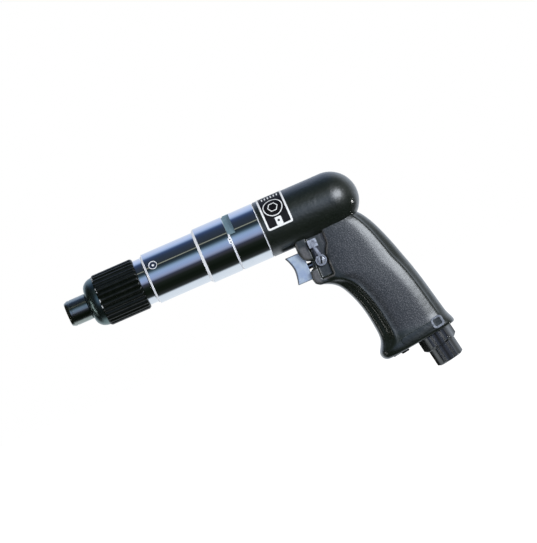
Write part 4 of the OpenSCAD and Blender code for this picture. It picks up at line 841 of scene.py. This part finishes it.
# The vent plug: a small steel disc, turned with a raised rim and a pip in its middle. It is blued and
# pressed into its seat in the side of the clutch case.
plug_radius, plug_depth, plug_out, rim_inner, pip_radius, dish = 3.18, 1.4, 18.05, 2.65, 0.85, 0.45
plug_bm = bmesh.new()
spun(plug_bm, [
    (-plug_depth, 0), (-plug_depth, plug_radius), (-0.15, plug_radius), (0, 3.05), (0, 2.85),
    (-0.15, rim_inner), (-dish, rim_inner), (-dish, pip_radius), (-0.2, 0.7), (-0.2, 0)], 48)
# The plug's rim and pip get the painted highlight
for face in plug_bm.faces:
    middle = face.calc_center_median()
    from_middle = middle.yz.length
    if middle.x > 0.1 - dish and (from_middle > rim_inner - 0.05 or from_middle < pip_radius):
        face.material_index = 1
rotated(plug_bm, -math.pi / 2, "Z")
rotated(plug_bm, -plug_angle, "X")
shifted(plug_bm, (plug_x, -math.cos(plug_angle) * plug_out, math.sin(plug_angle) * plug_out))
blued_steel = plain_finish(
    "blued_steel", (0.03, 0.045, 0.09), (0.06, 0.08, 0.14), 0.3, 0.1, (1.5, 3), Metallic=0.6)
vent_plug = placed(plug_bm, "vent_plug", "housing", [blued_steel, edge_highlight_paint], 30)
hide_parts("oil_plug")

for case in (clutch_case, gear_body):
    case.data.set_sharp_from_angle(angle=math.radians(25))
    ground(case)


# The ribbed collar: a blackened steel sleeve turned by hand to set the clutch.
# Its ribs run lengthwise and fade into a chamfer at both ends, and handling has brightened their crests.
# Bright spots on its front edge are chips, and painted highlights for that edge's glints.
collar_start, collar_length, collar_radius, collar_ribs, rib_depth = 24.8, 31, 18.7, 28, 1.1
points_per_rib, crest_power, chamfer_share, chamfer_slope = 12, 0.45, 0.86, 0.75
rib_stations = [0, 0.25, 0.7, 1.3, 1.9, 2.6, 14.5, 28.4, 29.1, 29.7, 30.3, 30.75, 31]
front_bore, rear_bore, bore_step = 13.1, 14.5, 9.4
oxide = Finish("black_oxide")
radius_now = oxide.node("VectorMath", {"operation": "LENGTH"}, {
    0: oxide.node("VectorMath", {"operation": "MULTIPLY"}, {0: oxide.place, 1: (0, 1, 1)})}, "Value")
patch = oxide.noise(5, 4)
handled = (oxide.steps(radius_now, 18.45, 18.75) * (patch * 1.8 - 0.6)).clamped()
# Bright spots along the front edge: chips, and painted highlights standing in for that edge's glints
collar_chips_and_glints = ((25.9 - oxide.x) * 2.5).clamped() * (oxide.noise(2.2, 2) * 9 - 5.1).clamped()
oxide_colour = oxide.mix(patch, (0.0018, 0.0028, 0.0015), (0.004, 0.006, 0.0035))
black_oxide = oxide.surface(
    oxide.mix(collar_chips_and_glints, oxide.mix(handled * 0.35, oxide_colour, (0.03, 0.03, 0.03)), (0.55, 0.57, 0.58)),
    0.26 + patch * 0.12, oxide.noise(0.3, 2), 0.01, Specular_IOR_Level=0.32)

collar_bm = bmesh.new()
bmesh.ops.create_circle(collar_bm, segments=collar_ribs * points_per_rib, radius=collar_radius)
rotated(collar_bm, math.pi / 2, "Y")
rim, ring = list(collar_bm.edges), list(collar_bm.verts)
for i, x in enumerate(rib_stations):
    if i:
        ring, rim = next_ring(collar_bm, rim)
    from_end = min(x, collar_length - x)
    for v in ring:
        turn = math.atan2(v.co.y, v.co.z)
        crest = (0.5 + 0.5 * math.cos(turn * collar_ribs)) ** crest_power
        chamfered = collar_radius - rib_depth * chamfer_share + from_end * chamfer_slope
        radius = min(collar_radius - rib_depth * (1 - crest), chamfered)
        v.co = (collar_start + x, radius * math.sin(turn), radius * math.cos(turn))
for end, bore in ((0, front_bore), (collar_length, rear_bore)):
    end_points = {v for v in collar_bm.verts if abs(v.co.x - collar_start - end) < 1e-4}
    rim = [e for e in collar_bm.edges if e.is_boundary and end_points.issuperset(e.verts)]
    ring, rim = next_ring(collar_bm, rim)
    for v in ring:
        v.co.yz = Vector(v.co.yz).normalized() * bore
    ring, rim = next_ring(collar_bm, rim)
    for v in ring:
        v.co.x = collar_start + bore_step
bmesh.ops.bridge_loops(collar_bm, edges=[e for e in collar_bm.edges if e.is_boundary])
bmesh.ops.recalc_face_normals(collar_bm, faces=collar_bm.faces)
collar = placed(collar_bm, "ribbed_collar", "collar_group", [black_oxide])
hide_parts("adjusting_collar")


# The nose cone: a dark cone, pressed in the collar's front, that guides the chuck.
# It is polished before it is blackened, so that it mirrors more than the collar does.
cone = Finish("dark_cone")
blast = cone.noise(0.4, 3)
cone_cloud = cone.noise(6, 3)
cone_tone = cone.mix(cone_cloud, (0.15, 0.22, 0.21), (0.22, 0.28, 0.27))
dark_cone = cone.surface(cone_tone, 0.27 + blast * 0.12, blast, 0.01, Metallic=1.0)
cone_start, cone_length, cone_lip, cone_swell, cone_bore = 16.3, 8.5, 10.2, 7.4, 6.6
spigot, spigot_end, spring_well, well_start = 13.0, 27.8, 9.2, 20.1
cone_angles = [math.radians(a) for a in range(2, 91, 8)]
swell = [(cone_start + cone_length * (1 - math.cos(a)), cone_lip + cone_swell * math.sin(a))
         for a in cone_angles]
nose_bm = bmesh.new()
spun(nose_bm, [
    (well_start, cone_bore), (cone_start, cone_bore), (cone_start, cone_lip - 0.2), *swell,
    (cone_start + cone_length, spigot), (spigot_end, spigot), (spigot_end, spring_well),
    (well_start, spring_well)], 128)
nose = placed(nose_bm, "nose_shell", "collar_group", [dark_cone], 30)
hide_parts("nose_cone")
ground(nose)


# The chuck sleeve: a blackened steel ring pulled forward to free the bit.
# It is turned with a long chamfer, a fine groove behind the lip and a soft rear edge, then polished.
chuck = Finish("black_polish")
turned = chuck.noise(0.5, 3, (3, 0.6, 0.6))
tarnish = chuck.noise(3, 3)
chuck_tone = chuck.mix(tarnish, (0.30, 0.33, 0.30), (0.48, 0.50, 0.46))
black_polish = chuck.surface(chuck_tone, 0.14 + turned * 0.12, turned, 0.02, Metallic=1.0)
sleeve_length, sleeve_radius, sleeve_bore, sleeve_mouth, lip_groove = 16, 9.3, 6.04, 7.8, 9.05
ball_low, ball_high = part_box("bit_ball")
land_start, ramp_start = ball_low.x / mm, (ball_low.x + ball_high.x) / 2 / mm - 0.37
ramp_length, ramp_rise = 4.82, 0.4
ramp_end, ramp_top = ramp_start + ramp_length, sleeve_bore + ramp_rise * ramp_length
sleeve_bm = bmesh.new()
spun(sleeve_bm, [
    (0, sleeve_mouth), (0, 8.0), (0.25, 8.35), (2.0, 9.15), (2.6, sleeve_radius), (3.6, sleeve_radius),
    (3.8, lip_groove), (4.3, lip_groove), (4.5, sleeve_radius), (15.4, sleeve_radius), (15.9, 9.1),
    (sleeve_length, 8.8), (sleeve_length, sleeve_bore), (ramp_end + 0.3, sleeve_bore), (ramp_end, ramp_top),
    (ramp_start, sleeve_bore), (land_start, sleeve_bore), (land_start, sleeve_mouth)], 112)
sleeve = placed(sleeve_bm, "pull_sleeve", "sleeve_group", [black_polish], 50)
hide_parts("chuck_sleeve")
ground(sleeve)


# The trigger: an aluminium button with a hollow front for the finger, satin anodised in a cool tone. Its
# front and top faces, and a band along its front edge, top and bottom, are painted dark as shade.
trigger_top, trigger_front, trigger_rear, trigger_half = 10.4, 154.5, 167.5, 6.5
dip, dip_power, lower_dip = 3.2, 1.7, 0.55
satin = Finish("trigger_metal")
brushed = satin.noise(0.6, 3, (0.3, 1, 4))
finger = satin.noise(5, 3)
# Painted shade: the button is darkened in a band along its front edge and along its top and bottom
up_the_button = ((satin.z - trigger_z) / trigger_top).abs() ** dip_power
front_now = trigger_front + dip - up_the_button * (2.48 + ((satin.z - trigger_z) * 4).clamped() * 0.72)
painted_edge_shade = ((1.5 - (satin.x - front_now)) * 1.6).clamped() * 0.85
painted_edge_shade = painted_edge_shade + ((satin.z - trigger_z).abs() * 2 - 19.2).clamped() * 0.5
anodised = satin.mix((finger * 2 - 0.5).clamped(), (0.29, 0.37, 0.54), (0.50, 0.58, 0.64))
button_tone = satin.mix(painted_edge_shade, anodised, (0.06, 0.07, 0.085))
trigger_metal = satin.surface(button_tone, 0.34 + brushed * 0.14, brushed, 0.01, Metallic=0.35)
hollow_and_top_shade = plain_finish(
    "hollow_and_top_shade", (0.06, 0.07, 0.08), (0.14, 0.15, 0.17), 0.36, 0.2, (2, 3), 0.02, Metallic=0.5)
button_bm = bmesh.new()
heights = [1, 0.9, 0.75, 0.6, 0.45, 0.3, 0.15, 0, -0.15, -0.3, -0.45, -0.6, -0.75, -0.9, -1]
finger_curve = [(trigger_front + dip - dip * abs(t) ** dip_power * (1 if t > 0 else lower_dip),
                 trigger_z + t * trigger_top) for t in heights]
corners = [(trigger_rear, trigger_z + side * trigger_top) for side in (1, -1)]
plate(button_bm, [corners[0], *finger_curve, corners[1]], -trigger_half, trigger_half)
rounded_edges(button_bm, 0.9, 4, 40)
# Faces turned to the front or up take the dark finish as painted shade
for face in button_bm.faces:
    if face.normal.x < -0.3 or (face.normal.z > 0.3 and face.normal.y > -0.9):
        face.material_index = 1
button = placed(button_bm, "trigger_button", "trigger_group",
                [trigger_metal, hollow_and_top_shade])
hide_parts("trigger")
ground(button)


def metal(name, dark, light, roughness, grain=0.8, depth=0.01, **constants):
    """A metal, or another plain material, with a slow cloud in its tone and fine marks cut along it."""
    made = Finish(name)
    tone = made.noise(grain * 8, 3)
    cut = made.noise(grain, 3, (0.4, 2, 2))
    return made.surface(made.mix(tone, dark, light), roughness + cut * 0.12, cut, depth, **constants)


# The reverse lever and its screw: a small plated lever with a square thumb pad on a narrow stem, turned
# between two stops in its pocket, and held by a slotted screw with a round-edged head. The stem's sides and
# the lever below the stem are painted dark as shade.
lever = Finish("lever_metal")
stem_x, stem_lean, stem_from, stem_top, stem_foot, stem_half = 177.2, 0.22, -28, -25.3, -32.0, 0.7
bright_patch = lever.noise(1.6, 3)
# Painted shade: the stem is darker at its sides, and the lever darker below the stem's foot
sideways = (lever.x - stem_x + (lever.z - stem_from) * stem_lean).abs()
on_stem = (lever.z - stem_top).math("LESS_THAN", 0) * (lever.z - stem_foot).math("GREATER_THAN", 0)
stem_side_shade = on_stem * ((sideways - stem_half) * 1.5).clamped()
shaded = stem_side_shade * 0.9 + ((stem_foot + 1 - lever.z) * 0.5).clamped() * 0.3
fine = lever.noise(0.5, 3)
plated = lever.mix((bright_patch * 2.4 - 0.7).clamped(), (0.22, 0.23, 0.26), (0.78, 0.80, 0.84))
lever_metal = lever.surface(
    lever.mix(shaded, plated, (0.03, 0.03, 0.035)), 0.24 + fine * 0.12, bright_patch, 0.10, Metallic=0.7)
screw_low, screw_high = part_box("lever_screw")
screw_radius = (screw_high.x - screw_low.x) / 2 / mm
screw_place = Vector(((screw_low.x + screw_high.x) / 2, screw_low.y, (screw_low.z + screw_high.z) / 2)) / mm
head_height, head_break, slot_width, slot_cut_depth, slot_angle = 1.5, 0.35, 1.1, 0.7, math.radians(14)
screw_bm = bmesh.new()
round_bar(screw_bm, screw_radius, -head_height, 0, 48)
rounded_edges(screw_bm, head_break, 3, 60)
rotated(screw_bm, math.pi / 2, "X")
shifted(screw_bm, screw_place)
screw = placed(screw_bm, "pivot_screw", "reverse_group", [lever_metal, black_oxide], 30)
slit_bm = bmesh.new()
block(slit_bm, (slot_width, 2 * slot_cut_depth, 4 * screw_radius))
rotated(slit_bm, slot_angle, "Y")
shifted(slit_bm, screw_place)
# The slot's faces take the black oxide: painted shade in the slot
joined(screw, cutter(slit_bm, "slot_cut", 1), "DIFFERENCE")
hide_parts("lever_screw")

# The inlet's bushing and fitting: hexagon steel, turned, threaded and black nickel plated. The soft hollows
# along their sides are what the polish before the plating leaves.
nickel = Finish("black_nickel")
hollow_pitch, hollow_from = 7, 3.7
across = (nickel.x - inlet_place.x) * math.cos(inlet_tilt)
across = across + (nickel.z - inlet_place.z) * math.sin(inlet_tilt)
waver = nickel.noise(9, 2, (1, 1, 0.3))
hollows = ((across + hollow_from) * (math.tau / hollow_pitch) + waver * 1.2 - 0.6).math("SINE")
scratch = nickel.noise(0.7, 3, (2, 2, 0.3))
nickel_tone = nickel.mix(waver, (0.006, 0.007, 0.006), (0.018, 0.018, 0.017))
black_nickel = nickel.surface(
    nickel_tone, 0.13 + scratch * 0.10, hollows * -6.4 + scratch * 0.3, 0.05, Specular_IOR_Level=1.0)

# The seam's key: a small steel key with two punched dots, let into both cases so that neither can turn
key_metal = Finish("key_metal")
key_tone, key_top, dot_from_middle, dot_radius = key_metal.noise(0.8, 3), 20.2, 1.05, 0.62
# The key's face is painted near-white as a highlight, and its two dots are painted dark as shade in their
# dimples
dot_shade = 0
for side in (-1, 1):
    dot = Matrix.Rotation(key_angle, 3, "X") @ Vector((seam_x, side * dot_from_middle, key_top))
    gap = key_metal.node("VectorMath", {"operation": "DISTANCE"}, {0: key_metal.place, 1: dot}, "Value")
    dot_shade = ((dot_radius - gap) * 6).clamped() + dot_shade
key_highlight_white = key_metal.mix(key_tone, (0.80, 0.82, 0.86), (0.96, 0.97, 1.0))
key_painted_light = key_metal.surface(
    key_metal.mix(dot_shade, key_highlight_white, (0.03, 0.04, 0.06)), 0.3 + key_tone * 0.1, Metallic=0.1)

# The pieces that keep their machined CAD shape: they get the finish of their metal, and those in view a
# fine edge break. Inside are ground steel gears and shafts, iron motor walls, brass valves and fibre vanes.
finishes = {
    "tool_steel": metal("tool_steel", (0.42, 0.43, 0.45), (0.60, 0.61, 0.63), 0.24, Metallic=1.0),
    "spring_steel": metal("spring_steel", (0.50, 0.50, 0.53), (0.68, 0.68, 0.72), 0.22, Metallic=1.0),
    "bearing_steel": metal("bearing_steel", (0.66, 0.66, 0.68), (0.80, 0.80, 0.83), 0.10, Metallic=1.0),
    "motor_iron": metal("motor_iron", (0.30, 0.30, 0.32), (0.44, 0.44, 0.46), 0.42, 1.5, 0.03,
                        Metallic=1.0),
    "vane_fibre": metal("vane_fibre", (0.24, 0.12, 0.05), (0.38, 0.22, 0.11), 0.55, 0.5, 0.02),
    "valve_brass": metal("valve_brass", (0.55, 0.38, 0.14), (0.74, 0.56, 0.27), 0.22, Metallic=1.0),
    "lever_metal": lever_metal,
    "fitting_steel": black_nickel,
    "black_oxide": black_oxide,
    "seal_rubber": metal("seal_rubber", (0.012, 0.012, 0.012), (0.025, 0.025, 0.025), 0.55, 0.4, 0.02),
    "silencer_felt": metal("silencer_felt", (0.24, 0.22, 0.18), (0.42, 0.39, 0.34), 0.85, 0.25, 0.12),
}
own_finish = {"seam_key": key_painted_light, "exhaust_cover": black_oxide, "exhaust_screws": black_oxide}
replaced = {
    "motor_housing", "clutch_housing", "gear_case", "adjusting_collar", "nose_cone", "chuck_sleeve",
    "trigger", "label_plate", "oil_plug", "lever_screw", "throttle_spring", "clutch_spring", "chuck_spring"}
edge_breaks = {
    "reverse_lever": 0.35, "inlet_bushing": 0.2, "inlet_fitting": 0.2, "exhaust_cover": 0.15,
    "exhaust_screws": 0.12, "chuck_clip": 0.08, "bit_spindle": 0.1}
for row in frame["record"]["subparts"]:
    name = row["node"]
    if name in replaced:
        continue
    node = frame["nodes"][name]
    node.data.materials.clear()
    node.data.materials.append(own_finish.get(name) or finishes[row["material_slot"]])
    if name in edge_breaks:
        weld = node.modifiers.new("weld", "WELD")
        weld.merge_threshold = 0.001 * mm
        edge = node.modifiers.new("edge", "BEVEL")
        edge.width, edge.segments = edge_breaks[name] * mm, 2
        edge.limit_method, edge.angle_limit = "ANGLE", math.radians(35)
        ground(node)


# The springs: three helices wound from round spring steel wire, held between the pieces that bear on them.
# Each one is the CAD's own coil, smooth-shaded and carried by the body that holds it.
behaviour = frame["record"]["behaviour"]
for joint in behaviour["joints"]:
    for spring in joint.get("deforming_nodes", []):
        name, fixed_end = spring["node"], spring["fixed_end_x_m"]
        low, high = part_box(name)
        spring_bm = bmesh.new()
        spring_bm.from_mesh(frame["nodes"][name].data)
        bmesh.ops.scale(spring_bm, vec=(1 / mm, 1 / mm, 1 / mm), verts=spring_bm.verts)
        bmesh.ops.remove_doubles(spring_bm, verts=spring_bm.verts, dist=0.001)
        body = next(body for body, nodes in behaviour["bodies"].items() if name in nodes)
        coil = placed(spring_bm, name + "_coil", body, [finishes["spring_steel"]], 50)
        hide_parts(name)
        length = max(abs(low.x - fixed_end), abs(high.x - fixed_end))
        1 - joint["range_m"][1] / length
        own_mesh(coil)
